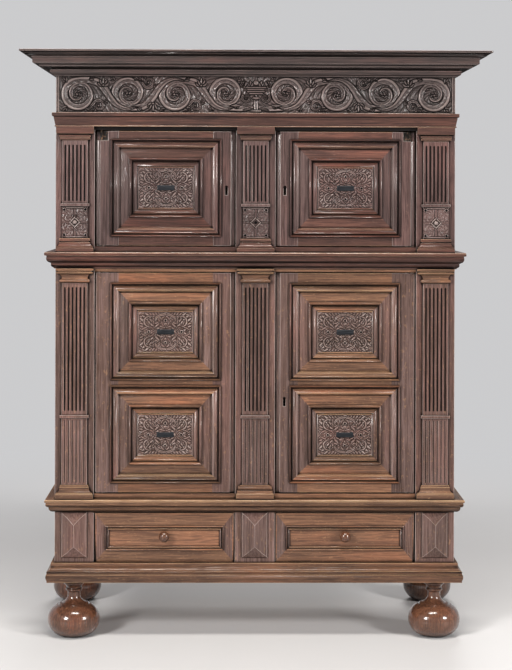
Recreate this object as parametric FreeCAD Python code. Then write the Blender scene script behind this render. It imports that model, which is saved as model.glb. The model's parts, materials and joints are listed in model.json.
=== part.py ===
import FreeCAD, Part
import math
import os

# Oak court cupboard of frame and panel work, in millimetres.
# The origin is on the floor under the middle of the whole outline.
# X runs to the right, Y from the front to the back, Z up.

Vector = FreeCAD.Vector
AXIS_X = Vector(1, 0, 0)
AXIS_Y = Vector(0, 1, 0)
AXIS_Z = Vector(0, 0, 1)
ORIGIN = Vector(0, 0, 0)

# Carcase
carcase_width = 1446.0
carcase_depth = 690.0

# Heights of the stages, from the floor up
foot_height = 209.0
base_mould_height = 68.0
drawer_stage_height = 185.0
surbase_height = 46.0
lower_stage_height = 832.0
waist_height = 60.0
upper_stage_height = 453.0
architrave_height = 50.0
frieze_height = 134.0
bed_mould_height = 39.0
crown_height = 47.0

# How far each run of moulding stands out from the carcase
base_mould_projection = 31.0
surbase_projection = 34.0
waist_projection = 37.0
architrave_projection = 13.5
bed_mould_projection = 56.0
crown_projection = 119.0

# Frame members
stile_width = 141.0
muntin_width = 144.0
frame_thickness = 36.0
post_width = 50.0
side_rail_thickness = 26.0
side_rail_height = 76.0
side_middle_rail_height = 64.0
lower_sill_height = 18.0
lower_head_depth = 11.0
upper_sill_height = 19.0
upper_head_depth = 12.0
base_sill_drop = 3.0
base_head_depth = 4.0
frieze_side_thickness = 30.0
sill_beam_width = 90.0
sill_beam_height = 44.0
rear_beam_width = 44.0

# Boards
board_thickness = 18.0
thin_board_thickness = 12.0
base_side_thickness = 22.0
back_board_count = 5
floor_board_count = 4
top_board_count = 4
cornice_board_thickness = 24.0
bearer_size = 24.0
shelf_setback = 34.0
shelf_height_share = 0.49

# Raised panels of the sides
side_panel_edge = 6.0
side_panel_field = 16.0
side_panel_bevel = 38.0
side_panel_inset = 8.0

# Pilasters
shaft_width = 92.0
shaft_thickness = 12.0
capital_projection = 22.0
plinth_projection = 24.0
cap_side_margin = 3.0
lower_capital_height = 52.0
upper_capital_height = 51.0
lower_plinth_height = 51.0
upper_plinth_height = 49.0
flute_count = 6
flute_pitch = 14.0
flute_width = 6.6
flute_depth = 3.2
flute_end_gap = 14.0
stopped_flute_depth = 1.4
band_height = 10.0
band_rise = 6.0
band_overhang = 6.0
flute_band_gap = 14.0
lower_band_level = 242.0
lower_stopped_margin = 8.0
carved_block_height = 108.0
carved_block_thickness = 5.0
carved_block_gap = 4.0
block_boss_diameter = 17.0
block_boss_rise = 6.0
block_hole_diameter = 9.0
block_hole_depth = 5.0

# Doors
door_thickness = 30.0
door_recess = 3.0
hinge_gap = 5.0
lock_gap = 4.0
door_rail_gap = 4.0
panel_hinge_margin = 52.0
panel_lock_margin = 48.0
lower_panel_top_margin = 36.0
lower_panel_bottom_margin = 34.0
lower_panel_middle_gap = 18.0
upper_panel_top_margin = 28.0
upper_panel_bottom_margin = 32.5
moulding_seat = 30.0
edge_rebate_width = 13.0
edge_rebate_depth = 8.0
outer_moulding_width = 37.0
outer_moulding_height = 11.0
inner_moulding_width = 36.0
inner_moulding_height = 10.0
inner_frame_inset_across = 68.0
inner_frame_inset_up = 69.0
panel_back_thickness = 14.0
panel_rise = 12.0
ebony_bar_length = 62.0
ebony_bar_height = 18.5
ebony_bar_thickness = 6.0
ebony_bar_bevel = 2.5

# Keyholes, locks and the turn button
keyhole_inset = 30.0
keyhole_width = 11.0
keyhole_slot_width = 9.0
keyhole_height = 34.0
lock_level_upper = 201.0
lock_level_lower = 329.0
lock_case_length = 90.0
lock_case_height = 70.0
lock_case_depth = 20.0
lock_case_wall = 3.0
lock_case_setback = 4.0
bolt_length = 70.0
bolt_height = 20.0
bolt_thickness = 12.0
bolt_clearance = 0.5
button_long_arm = 60.0
button_short_arm = 18.0
button_width = 24.0
button_thickness = 10.0
button_inset = 24.0
button_boss_height = 4.0
button_boss_diameter = 20.0
button_head_height = 3.0
button_head_diameter = 14.0

# Pivot hinges
pivot_inset = 20.0
pivot_depth = 5.0
pivot_diameter = 8.0
pivot_length = 12.0
pivot_clearance = 0.06
shoe_width = 30.0
shoe_height = 20.0
shoe_depth = 24.0
shoe_thickness = 2.4
shoe_edge_gap = 3.0
collar_diameter = 15.0
seat_clearance = 0.3
notch_width = 42.0
notch_height = 34.0
notch_depth = 14.0

# Drawers
drawer_side_gap = 5.0
drawer_lock_gap = 4.0
drawer_bottom_gap = 2.0
drawer_top_gap = 3.0
drawer_front_thickness = 20.0
drawer_recess = 2.0
drawer_border_across = 36.0
drawer_border_up = 43.0
drawer_border_rise = 9.0
drawer_edge_flat = 5.0
drawer_moulding_width = 16.0
drawer_moulding_height = 7.0
drawer_box_inset = 3.0
drawer_box_height = 150.0
drawer_box_length = 540.0
drawer_wall = 14.0
drawer_bottom_thickness = 8.0
drawer_bottom_lift = 8.0
runner_height = 24.0
runner_width = 145.0
guide_height = 40.0
guide_gap = 1.0
knob_diameter = 38.0
knob_collar_diameter = 26.0
knob_collar_height = 5.0
knob_neck_diameter = 14.0
knob_length = 42.0
knob_crown_height = 13.0
knob_shank_diameter = 12.0
knob_shank_length = 16.0
knob_lift = 9.0

# Prism blocks between the drawers
prism_block_width = 95.0
prism_block_height = 165.0
prism_block_thickness = 8.0
prism_block_chamfer = 4.0
prism_border = 19.0
prism_half_width = 25.0
prism_border_rise = 6.0
prism_rise = 16.0
prism_foot_lift = 18.0

# Turned feet
front_foot_inset_across = 64.4
front_foot_inset_deep = 65.0
rear_foot_inset_across = 28.0
rear_foot_inset_deep = 95.0
ball_diameter = 189.0
ball_contact_diameter = 84.0
ball_top_diameter = 122.0
ball_height = 112.0
ball_middle_height = 60.0
shoulder_diameter = 106.0
neck_diameter = 46.0
ring_diameter = 60.0
collar_disc_diameter = 75.0
groove_depth = 5.0
neck_bottom_height = 143.0
neck_top_height = 157.0
ring_height = 10.0
collar_disc_height = 12.0
spigot_diameter = 28.0
spigot_length = 30.0
spigot_clearance = 0.05

# Working values: how far cutters run past, and the least length of an edge
cut_overrun = 1.0
least_gap = 0.001

# Bulge of a curve as a share of its chord: a quarter round, a shallow one and a half round
quarter_share = (math.sqrt(2) - 1) / 2
shallow_share = 0.11
half_share = 0.5

# Sections of the mouldings, as shares of projection and height, from the foot of the back outwards
base_mould_shares = (
    ("from", 0.0, 0.0), ("to", 0.84, 0.0), ("to", 0.84, 0.09), ("to", 0.88, 0.13),
    ("shallow", 0.91, 0.42), ("to", 0.82, 0.45), ("to", 0.82, 0.49), ("round", 0.80, 0.60),
    ("hollow", 0.42, 0.88), ("to", 0.42, 1.0), ("to", 0.0, 1.0),
)
surbase_shares = (
    ("from", 0.0, 0.0), ("to", 0.10, 0.0), ("round", 0.60, 0.34), ("to", 0.60, 0.40),
    ("to", 0.70, 0.42), ("round", 0.88, 0.70), ("to", 0.88, 0.77), ("to", 1.0, 0.80),
    ("to", 1.0, 0.95), ("to", 0.95, 1.0), ("to", 0.0, 1.0),
)
waist_shares = (
    ("from", 0.0, 0.0), ("to", 0.14, 0.0), ("to", 0.20, 0.08), ("round", 0.40, 0.24),
    ("to", 0.40, 0.33), ("to", 0.56, 0.38), ("round", 0.80, 0.70), ("to", 0.80, 0.78),
    ("to", 1.0, 0.80), ("to", 1.0, 0.95), ("to", 0.95, 1.0), ("to", 0.0, 1.0),
)
architrave_shares = (
    ("from", 0.0, 0.0), ("to", 0.34, 0.0), ("to", 0.34, 0.06), ("to", 0.14, 0.10),
    ("to", 0.54, 0.62), ("to", 0.54, 0.70), ("to", 0.80, 0.73), ("round", 1.0, 0.84),
    ("to", 1.0, 1.0), ("to", 0.0, 1.0),
)
bed_mould_shares = (
    ("from", 0.0, 0.0), ("to", 0.14, 0.0), ("to", 0.14, 0.09), ("to", 0.28, 0.12),
    ("shallow", 0.35, 0.46), ("to", 0.35, 0.52), ("to", 0.22, 0.54), ("to", 0.22, 0.60),
    ("hollow", 0.84, 0.74), ("to", 0.84, 0.78), ("to", 1.0, 0.80), ("to", 1.0, 1.0),
    ("to", 0.0, 1.0),
)
crown_shares = (
    ("from", 0.0, 0.0), ("to", 0.60, 0.0), ("to", 0.60, 0.05), ("to", 0.645, 0.05),
    ("to", 0.645, 0.48), ("to", 0.68, 0.50), ("to", 0.68, 0.56), ("to", 0.76, 0.58),
    ("round", 0.87, 0.75), ("to", 0.87, 0.79), ("to", 0.84, 0.80), ("to", 0.84, 0.84),
    ("to", 1.0, 0.86), ("to", 1.0, 1.0), ("to", 0.0, 1.0),
)

# Sections of the pilaster caps and feet, from the shaft's face outwards
lower_capital_shares = (
    ("from", 0.0, 0.0), ("to", 0.10, 0.03), ("bead", 0.10, 0.27), ("to", 0.0, 0.30),
    ("to", 0.0, 0.34), ("hollow", 0.82, 0.66), ("to", 0.90, 0.67), ("to", 0.90, 0.76),
    ("to", 0.64, 0.78), ("to", 0.64, 0.85), ("to", 1.0, 0.87), ("to", 1.0, 1.0),
)
upper_capital_shares = (
    ("from", 0.0, 0.0), ("to", 0.0, 0.06), ("to", 0.40, 0.08), ("to", 0.40, 0.20),
    ("to", 0.32, 0.21), ("to", 0.32, 0.24), ("to", 0.46, 0.25), ("to", 0.46, 0.38),
    ("to", 0.0, 0.40), ("to", 0.0, 0.47), ("to", 0.94, 0.49), ("to", 1.0, 0.54),
    ("to", 1.0, 1.0),
)
lower_plinth_shares = (
    ("from", 1.0, 0.0), ("to", 1.0, 0.36), ("to", 0.90, 0.38), ("to", 0.90, 0.44),
    ("hollow", 0.34, 0.78), ("to", 0.34, 0.86), ("to", 0.20, 0.88), ("to", 0.20, 1.0),
)
centre_plinth_shares = (
    ("from", 1.0, 0.0), ("to", 1.0, 0.40), ("to", 0.84, 0.44), ("to", 0.84, 0.52),
    ("round", 0.60, 0.66), ("to", 0.42, 0.68), ("bead", 0.42, 0.94), ("to", 0.16, 1.0),
)
upper_plinth_shares = (
    ("from", 1.0, 0.0), ("to", 1.0, 0.30), ("to", 0.84, 0.32), ("to", 0.84, 0.38),
    ("to", 0.96, 0.40), ("hollow", 0.46, 0.70), ("to", 0.16, 0.72), ("to", 0.16, 0.80),
    ("to", 0.42, 0.82), ("to", 0.42, 0.98), ("to", 0.38, 1.0),
)

# Sections of the frames planted on the panels, from their outer edge inwards and back over the top
outer_moulding_shares = (
    ("from", 0.0, 0.0), ("to", 1.0, 0.0), ("to", 1.0, 0.12), ("hollow", 0.88, 0.40),
    ("to", 0.82, 0.42), ("to", 0.82, 0.90), ("to", 0.70, 0.94), ("to", 0.66, 0.78),
    ("hollow", 0.34, 0.62), ("to", 0.32, 0.14), ("to", 0.20, 0.14), ("to", 0.18, 0.60),
    ("bead", 0.0, 0.60),
)
inner_moulding_shares = (
    ("from", 0.0, 0.0), ("to", 1.0, 0.0), ("to", 1.0, 0.28), ("to", 0.90, 0.32),
    ("to", 0.88, 0.12), ("to", 0.83, 0.12), ("to", 0.81, 0.42), ("hollow", 0.42, 0.54),
    ("to", 0.40, 0.12), ("to", 0.31, 0.12), ("to", 0.29, 0.50), ("bead", 0.0, 0.50),
)
drawer_moulding_shares = (
    ("from", 0.0, 0.0), ("to", 1.0, 0.0), ("to", 1.0, 0.42), ("round", 0.82, 0.66),
    ("to", 0.68, 0.66), ("to", 0.64, 0.18), ("to", 0.46, 0.18), ("to", 0.40, 0.56),
    ("bead", 0.0, 0.56),
)

# Levels that follow from the stages
base_z = foot_height
drawer_z = base_z + base_mould_height
surbase_z = drawer_z + drawer_stage_height
lower_z = surbase_z + surbase_height
waist_z = lower_z + lower_stage_height
upper_z = waist_z + waist_height
architrave_z = upper_z + upper_stage_height
frieze_z = architrave_z + architrave_height
cornice_z = frieze_z + frieze_height
crown_z = cornice_z + bed_mould_height
top_z = crown_z + crown_height

# Planes that follow from the plan
half_width = carcase_width / 2
front_y = (crown_projection - carcase_depth) / 2
back_y = front_y + carcase_depth
inner_y = front_y + frame_thickness
board_y = back_y - thin_board_thickness
opening_outer_x = half_width - stile_width
opening_inner_x = muntin_width / 2
pilaster_x = half_width - stile_width / 2
post_inner_x = half_width - post_width
side_inner_x = half_width - side_rail_thickness
side_back_y = back_y - post_width

lower_opening_z = lower_z + lower_sill_height
lower_opening_top = waist_z - lower_head_depth
upper_opening_z = upper_z + upper_sill_height
upper_opening_top = architrave_z - upper_head_depth
base_opening_z = drawer_z - base_sill_drop
base_opening_top = surbase_z - base_head_depth

door_face_y = front_y + door_recess
door_back_y = door_face_y + door_thickness
door_outer_x = opening_outer_x - hinge_gap
door_inner_x = opening_inner_x + lock_gap
pivot_x = door_outer_x - pivot_inset
pivot_y = door_face_y + pivot_depth
lower_door_z = lower_opening_z + door_rail_gap
lower_door_top = lower_opening_top - door_rail_gap
upper_door_z = upper_opening_z + door_rail_gap
upper_door_top = upper_opening_top - door_rail_gap

bolt_face_y = door_back_y + lock_case_wall + bolt_clearance
button_x = door_inner_x + button_inset
button_z = lower_door_z + lock_level_lower


def box(x0, x1, y0, y1, z0, z1):
    """Plain board between two corners."""
    return Part.makeBox(x1 - x0, y1 - y0, z1 - z0, Vector(x0, y0, z0))


def cylinder(diameter, length, base, direction):
    """Round rod from its base along a direction."""
    return Part.makeCylinder(diameter / 2, length, base, direction)


def mirrored(shape):
    """Copy of a shape on the other side of the middle plane."""
    return shape.mirror(ORIGIN, AXIS_X)


def only_solid(shape):
    """The single solid that a cut or a joint leaves."""
    solids = shape.Solids
    if len(solids) != 1:
        raise ValueError("expected one solid, found %d" % len(solids))
    return solids[0]


def section_face(shares, width, height, origin, out_dir, up_dir, back=0.0):
    """Closed section drawn in shares of a width and a height, with a plain strip behind it."""
    bulges = {"round": quarter_share, "hollow": -quarter_share, "shallow": shallow_share,
              "bead": half_share}

    def place(out_share, up_share):
        return origin + out_dir * (out_share * width) + up_dir * (up_share * height)

    edges = []
    first = place(shares[0][1], shares[0][2])
    here = first
    for kind, out_share, up_share in shares[1:]:
        there = place(out_share, up_share)
        if kind == "to":
            edges.append(Part.LineSegment(here, there).toShape())
        else:
            along = there - here
            out_part = along.dot(out_dir)
            up_part = along.dot(up_dir)
            side = (out_dir * up_part - up_dir * out_part).normalize()
            middle = (here + there) * 0.5 + side * (along.Length * bulges[kind])
            edges.append(Part.Arc(here, middle, there).toShape())
        here = there
    if back > 0:
        back_top = origin - out_dir * back + up_dir * ((here - origin).dot(up_dir))
        back_foot = origin - out_dir * back + up_dir * ((first - origin).dot(up_dir))
        edges.append(Part.LineSegment(here, back_top).toShape())
        edges.append(Part.LineSegment(back_top, back_foot).toShape())
        here = back_foot
    edges.append(Part.LineSegment(here, first).toShape())
    return Part.Face(Part.Wire(edges))


def mitred_length(shares, width, height, start, run, out_dir, up_dir, grow_start, grow_end):
    """One length of moulding, whose ends move out with the section where they are mitred."""
    along = Vector(run).normalize()
    length = run.Length
    lead = width * max(grow_start, 0)
    tail = width * max(grow_end, 0)
    face = section_face(shares, width, height, start - along * lead, out_dir, up_dir)
    solid = face.extrude(along * (length + lead + tail))
    if not (grow_start or grow_end):
        return only_solid(solid)
    near = -cut_overrun
    far = width + cut_overrun
    foot = start - up_dir * (height + cut_overrun)
    corners = (
        foot + out_dir * near - along * (grow_start * near),
        foot + out_dir * far - along * (grow_start * far),
        foot + out_dir * far + along * (length + grow_end * far),
        foot + out_dir * near + along * (length + grow_end * near),
    )
    plan = Part.Face(Part.makePolygon(list(corners) + [corners[0]]))
    wedge = plan.extrude(up_dir * (height + cut_overrun) * 3)
    return only_solid(solid.common(wedge))


def wrapped_mould(shares, projection, height, level):
    """Front length and two returns of a moulding round the carcase, mitred at the corners."""
    left = Vector(-half_width, front_y, level)
    right = Vector(half_width, front_y, level)
    front = mitred_length(shares, projection, height, left, right - left, -AXIS_Y, AXIS_Z, 1, 1)
    depth = AXIS_Y * carcase_depth
    left_return = mitred_length(shares, projection, height, left, depth, -AXIS_X, AXIS_Z, 1, 0)
    return [front, left_return, mirrored(left_return)]


def planted_frame(shares, width, height, x0, x1, z0, z1, face_y):
    """Four mitred lengths round a rectangle, planted on an upright face."""
    low_left = Vector(x0, face_y, z0)
    low_right = Vector(x1, face_y, z0)
    high_right = Vector(x1, face_y, z1)
    high_left = Vector(x0, face_y, z1)
    sides = (
        (low_left, low_right, AXIS_Z), (low_right, high_right, -AXIS_X),
        (high_right, high_left, -AXIS_Z), (high_left, low_left, AXIS_X),
    )
    return [mitred_length(shares, width, height, start, end - start, inwards, -AXIS_Y, -1, -1)
            for start, end, inwards in sides]


def stepped_plate(origin, across, up, out, width, height, steps):
    """Plate whose face steps or slopes in from every edge; steps are (inset across, inset up, rise)."""
    def outline(along, span, which):
        rising = [origin + along * step[which] + out * step[2] for step in steps]
        falling = [origin + along * (span - step[which]) + out * step[2] for step in steps]
        if rising[-1].isEqual(falling[-1], least_gap):
            falling.pop()
        corners = [origin] + rising + falling[::-1] + [origin + along * span, origin]
        return Part.Face(Part.makePolygon(corners))

    level = outline(across, width, 0).extrude(up * height)
    upright = outline(up, height, 1).extrude(across * width)
    return only_solid(level.common(upright))


def returned_block(shares, height, centre_x, level, core_width, side_growth, core_depth, growth):
    """Moulded block on the front of a stile, with its section returned on both sides."""
    full_width = core_width + side_growth * 2
    front_origin = Vector(centre_x - full_width, front_y - core_depth, level)
    front = section_face(shares, growth, height, front_origin, -AXIS_Y, AXIS_Z, core_depth)
    shape = front.extrude(AXIS_X * (full_width * 2))
    run = -AXIS_Y * ((core_depth + growth) * 2)
    for side in (-1, 1):
        side_origin = Vector(centre_x + side * core_width / 2, front_y + core_depth, level)
        outline = section_face(shares, side_growth, height, side_origin, AXIS_X * side, AXIS_Z,
                               full_width)
        shape = shape.common(outline.extrude(run - AXIS_Y * (core_depth * 2)))
    return only_solid(shape)


def dome_middle(radius, foot, top):
    """Point halfway up a round dome, from its foot's radius and level to its top."""
    rise = top - foot
    sphere = (radius ** 2 + rise ** 2) / (rise * 2)
    angle = math.atan2(radius, sphere - rise) / 2
    return sphere * math.sin(angle), top - sphere * (1 - math.cos(angle))


def turned(points, axis_base, axis_dir, radial_dir):
    """Solid of revolution; points are (kind, radius, height), and an arc adds its middle point."""
    def place(radius, height):
        return axis_base + radial_dir * radius + axis_dir * height

    edges = []
    last = points[0]
    here = place(last[1], last[2])
    first = here
    for point in points[1:]:
        there = place(point[1], point[2])
        if point[0] == "to":
            edges.append(Part.LineSegment(here, there).toShape())
        elif point[0] == "dome":
            middle = place(*dome_middle(last[1], last[2], point[2]))
            edges.append(Part.Arc(here, middle, there).toShape())
        else:
            edges.append(Part.Arc(here, place(point[3], point[4]), there).toShape())
        here = there
        last = point
    edges.append(Part.LineSegment(here, first).toShape())
    face = Part.Face(Part.Wire(edges))
    return only_solid(face.revolve(axis_base, axis_dir, 360))


def boards_across(count, x0, x1, y0, y1, z0, z1):
    """Row of equal boards side by side along X."""
    width = (x1 - x0) / count
    return [box(x0 + width * i, x0 + width * (i + 1), y0, y1, z0, z1) for i in range(count)]


def boards_deep(count, x0, x1, y0, y1, z0, z1):
    """Row of equal boards side by side along Y."""
    depth = (y1 - y0) / count
    return [box(x0, x1, y0 + depth * i, y0 + depth * (i + 1), z0, z1) for i in range(count)]


def foot_place(side, inset_across, y):
    """Centre of a foot on the floor."""
    return Vector(side * (half_width - inset_across), y, 0)


FOOT_PLACES = {
    "foot_front_left": foot_place(-1, front_foot_inset_across, front_y + front_foot_inset_deep),
    "foot_front_right": foot_place(1, front_foot_inset_across, front_y + front_foot_inset_deep),
    "foot_rear_left": foot_place(-1, rear_foot_inset_across, back_y - rear_foot_inset_deep),
    "foot_rear_right": foot_place(1, rear_foot_inset_across, back_y - rear_foot_inset_deep),
}


def bun_foot(place):
    """Turned bun foot with a necked stem and a spigot."""
    ring_z = neck_top_height + groove_depth
    disc_z = foot_height - collar_disc_height * 2
    points = (
        ("from", 0, 0),
        ("to", ball_contact_diameter / 2, 0),
        ("arc", ball_top_diameter / 2, ball_height, ball_diameter / 2, ball_middle_height),
        ("to", shoulder_diameter / 2, ball_height),
        ("to", shoulder_diameter / 2, ball_height + groove_depth),
        ("arc", neck_diameter / 2, neck_bottom_height,
         neck_diameter / 2 + (shoulder_diameter - neck_diameter) / 2 * quarter_share,
         ball_height + groove_depth + (neck_bottom_height - ball_height - groove_depth) / 2),
        ("to", neck_diameter / 2, neck_top_height),
        ("to", ring_diameter / 2 - groove_depth, ring_z),
        ("arc", ring_diameter / 2 - groove_depth, ring_z + ring_height,
         ring_diameter / 2, ring_z + ring_height / 2),
        ("to", collar_disc_diameter / 2 - groove_depth, disc_z),
        ("arc", collar_disc_diameter / 2 - groove_depth, disc_z + collar_disc_height,
         collar_disc_diameter / 2, disc_z + collar_disc_height / 2),
        ("to", collar_disc_diameter / 2, foot_height - collar_disc_height / 2),
        ("to", collar_disc_diameter / 2, foot_height),
        ("to", spigot_diameter / 2, foot_height),
        ("to", spigot_diameter / 2, foot_height + spigot_length),
        ("to", 0, foot_height + spigot_length),
    )
    return turned(points, place, AXIS_Z, AXIS_X)


def base_section():
    """Sill beams, front frame, boards and runners of the drawer stage."""
    beam_x = half_width - sill_beam_width
    beam_top = base_z + sill_beam_height
    beams = [box(-half_width, -beam_x, inner_y, back_y, base_z, beam_top)]
    beams.append(mirrored(beams[0]))
    for place in FOOT_PLACES.values():
        bore = cylinder(spigot_diameter + spigot_clearance * 2, spigot_length + cut_overrun,
                        place + AXIS_Z * base_z, AXIS_Z)
        beams = [beam.cut(bore) for beam in beams]
    beams = [only_solid(beam) for beam in beams]
    beams.append(box(-beam_x, beam_x, back_y - rear_beam_width, back_y, base_z, beam_top))

    frame = [
        box(-half_width, -opening_outer_x, front_y, inner_y, base_z, lower_z),
        box(opening_outer_x, half_width, front_y, inner_y, base_z, lower_z),
        box(-opening_outer_x, opening_outer_x, front_y, inner_y, base_z, base_opening_z),
        box(-opening_outer_x, opening_outer_x, front_y, inner_y, base_opening_top, lower_z),
        box(-opening_inner_x, opening_inner_x, front_y, inner_y, base_opening_z, base_opening_top),
    ]
    wall_x = half_width - base_side_thickness
    sides = [box(-half_width, -wall_x, inner_y, back_y, beam_top, lower_z)]
    sides.append(mirrored(sides[0]))

    boards = boards_deep(floor_board_count, -beam_x, beam_x, inner_y, back_y - rear_beam_width,
                         base_z, base_z + thin_board_thickness)
    boards += boards_deep(floor_board_count, -wall_x, wall_x, inner_y, board_y,
                          lower_z - thin_board_thickness, lower_z)
    boards.append(box(-wall_x, wall_x, board_y, back_y, beam_top, lower_z))

    runner_z = drawer_z - runner_height
    guide_x = door_outer_x - drawer_box_inset + guide_gap
    centre_guide_x = door_inner_x + drawer_box_inset - guide_gap
    side_runner = box(-wall_x, runner_width - wall_x, inner_y, board_y, runner_z, drawer_z)
    side_guide = box(-wall_x, -guide_x, inner_y, board_y, drawer_z, drawer_z + guide_height)
    middle_x = opening_inner_x + bearer_size
    runners = [
        side_runner, mirrored(side_runner), side_guide, mirrored(side_guide),
        box(-middle_x, middle_x, inner_y, board_y, runner_z, drawer_z),
        box(-centre_guide_x, centre_guide_x, inner_y, board_y, drawer_z, drawer_z + guide_height),
    ]
    return {
        "base_front_frame": frame,
        "base_sides": beams + sides,
        "base_boards": boards,
        "drawer_runners": runners,
        "base_mould": wrapped_mould(base_mould_shares, base_mould_projection, base_mould_height,
                                    base_z),
        "surbase_mould": wrapped_mould(surbase_shares, surbase_projection, surbase_height,
                                       surbase_z),
        "prism_blocks": [prism_block(x) for x in (-pilaster_x, 0, pilaster_x)],
    }


def prism_block(centre_x):
    """Block with a hipped prism standing on a border that rises towards it."""
    foot_z = drawer_z + prism_foot_lift
    origin = Vector(centre_x - prism_block_width / 2, front_y, foot_z)
    side_border = prism_block_width / 2 - prism_half_width
    prism_foot = prism_block_thickness + prism_border_rise
    steps = (
        (0, 0, prism_block_thickness - prism_block_chamfer),
        (prism_block_chamfer, prism_block_chamfer, prism_block_thickness),
        (side_border, prism_border, prism_foot),
        (side_border + prism_half_width, prism_border + prism_half_width, prism_foot + prism_rise),
    )
    return stepped_plate(origin, AXIS_X, AXIS_Z, -AXIS_Y, prism_block_width, prism_block_height,
                         steps)


def side_panel(y0, y1, z0, z1):
    """Raised panel in the left side of the carcase."""
    inside_x = side_inner_x + side_panel_edge / 2
    steps = (
        (0, 0, side_panel_edge),
        (side_panel_inset, side_panel_inset, side_panel_edge),
        (side_panel_bevel, side_panel_bevel, side_panel_field),
    )
    origin = Vector(-inside_x, y0, z0)
    return stepped_plate(origin, AXIS_Y, AXIS_Z, -AXIS_X, y1 - y0, z1 - z0, steps)


def panelled_side(z0, z1, post_top, top_height, middle_z):
    """Rear post, rails and raised panels of one side, and their copies on the other side."""
    pieces = [box(-half_width, -post_inner_x, side_back_y, back_y, z0, post_top)]
    rails = [(z0, z0 + side_rail_height), (z1 - top_height, z1)]
    if middle_z:
        rails.insert(1, (middle_z - side_middle_rail_height / 2,
                         middle_z + side_middle_rail_height / 2))
    for low, high in rails:
        pieces.append(box(-half_width, -side_inner_x, inner_y, side_back_y, low, high))
    for below, above in zip(rails[:-1], rails[1:]):
        pieces.append(side_panel(inner_y, side_back_y, below[1], above[0]))
    return pieces + [mirrored(piece) for piece in pieces]


def pivot_bore(sign, z, direction):
    """Bore for a door pivot, sunk into a rail from its face at z."""
    base = Vector(sign * pivot_x, pivot_y, z)
    return cylinder(pivot_diameter + pivot_clearance * 2, pivot_length + seat_clearance, base,
                    direction)


def with_pivot_bores(rail, z, direction):
    """Rail with the two pivot bores of its doors."""
    for sign in (-1, 1):
        rail = rail.cut(pivot_bore(sign, z, direction))
    return only_solid(rail)


def lower_section():
    """Frame, sides, boards and mouldings of the lower cupboard."""
    sill = box(-opening_outer_x, opening_outer_x, front_y, inner_y, lower_z, lower_opening_z)
    head = box(-opening_outer_x, opening_outer_x, front_y, inner_y, lower_opening_top, upper_z)
    frame = [
        box(-half_width, -opening_outer_x, front_y, inner_y, lower_z, upper_z),
        box(opening_outer_x, half_width, front_y, inner_y, lower_z, upper_z),
        with_pivot_bores(sill, lower_opening_z, -AXIS_Z),
        with_pivot_bores(head, lower_opening_top, AXIS_Z),
        box(-opening_inner_x, opening_inner_x, front_y, inner_y, lower_opening_z,
            lower_opening_top),
    ]
    top_rail = upper_z - lower_opening_top + side_rail_height / 2
    shelf_z = lower_door_z + (lower_door_top - lower_door_z) * shelf_height_share
    sides = panelled_side(lower_z, upper_z, upper_z, top_rail, shelf_z)
    back = boards_across(back_board_count, -post_inner_x, post_inner_x, board_y, back_y,
                         lower_z, upper_z)
    bearer = box(-side_inner_x, bearer_size - side_inner_x, inner_y + shelf_setback,
                 side_back_y, shelf_z - bearer_size, shelf_z)
    floor_bearer = box(-side_inner_x, bearer_size - side_inner_x, inner_y, side_back_y,
                       lower_z, lower_opening_z - thin_board_thickness)
    boards = boards_deep(floor_board_count, -side_inner_x, side_inner_x, inner_y, side_back_y,
                         lower_opening_z - thin_board_thickness, lower_opening_z)
    boards += boards_deep(floor_board_count, -side_inner_x, side_inner_x,
                          inner_y + shelf_setback, side_back_y, shelf_z, shelf_z + board_thickness)
    boards += boards_deep(floor_board_count, -side_inner_x, side_inner_x, inner_y, side_back_y,
                          upper_z - board_thickness, upper_z)
    boards += [bearer, mirrored(bearer), floor_bearer, mirrored(floor_bearer)]
    return {
        "lower_front_frame": frame,
        "lower_sides": sides,
        "lower_back_boards": back,
        "lower_boards": boards,
        "waist_mould": wrapped_mould(waist_shares, waist_projection, waist_height, waist_z),
    }


def upper_section():
    """Frame, sides, boards, frieze and architrave of the upper cupboard."""
    sill = box(-opening_outer_x, opening_outer_x, front_y, inner_y, upper_z, upper_opening_z)
    frame = [
        box(-half_width, -opening_outer_x, front_y, inner_y, upper_z, upper_opening_top),
        box(opening_outer_x, half_width, front_y, inner_y, upper_z, upper_opening_top),
        with_pivot_bores(sill, upper_opening_z, -AXIS_Z),
        box(-opening_inner_x, opening_inner_x, front_y, inner_y, upper_opening_z,
            upper_opening_top),
    ]
    frieze_front = box(-half_width, half_width, front_y, inner_y, upper_opening_top, cornice_z)
    frieze_side = box(-half_width, frieze_side_thickness - half_width, inner_y, side_back_y,
                      upper_opening_top, cornice_z)
    frieze = [with_pivot_bores(frieze_front, upper_opening_top, AXIS_Z), frieze_side,
              mirrored(frieze_side)]
    sides = panelled_side(upper_z, upper_opening_top, cornice_z, side_rail_height, None)
    back = boards_across(back_board_count, -post_inner_x, post_inner_x, board_y, back_y,
                         upper_z, cornice_z)
    frieze_inner_x = half_width - frieze_side_thickness
    boards = boards_deep(floor_board_count, -side_inner_x, side_inner_x, inner_y, side_back_y,
                         upper_z, upper_z + board_thickness)
    boards += boards_deep(floor_board_count, -frieze_inner_x, frieze_inner_x, inner_y, side_back_y,
                          cornice_z - board_thickness, cornice_z)
    return {
        "upper_front_frame": frame,
        "upper_sides": sides,
        "upper_back_boards": back,
        "upper_boards": boards,
        "frieze_boards": frieze,
        "architrave_mould": wrapped_mould(architrave_shares, architrave_projection,
                                          architrave_height, architrave_z),
    }


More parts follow.
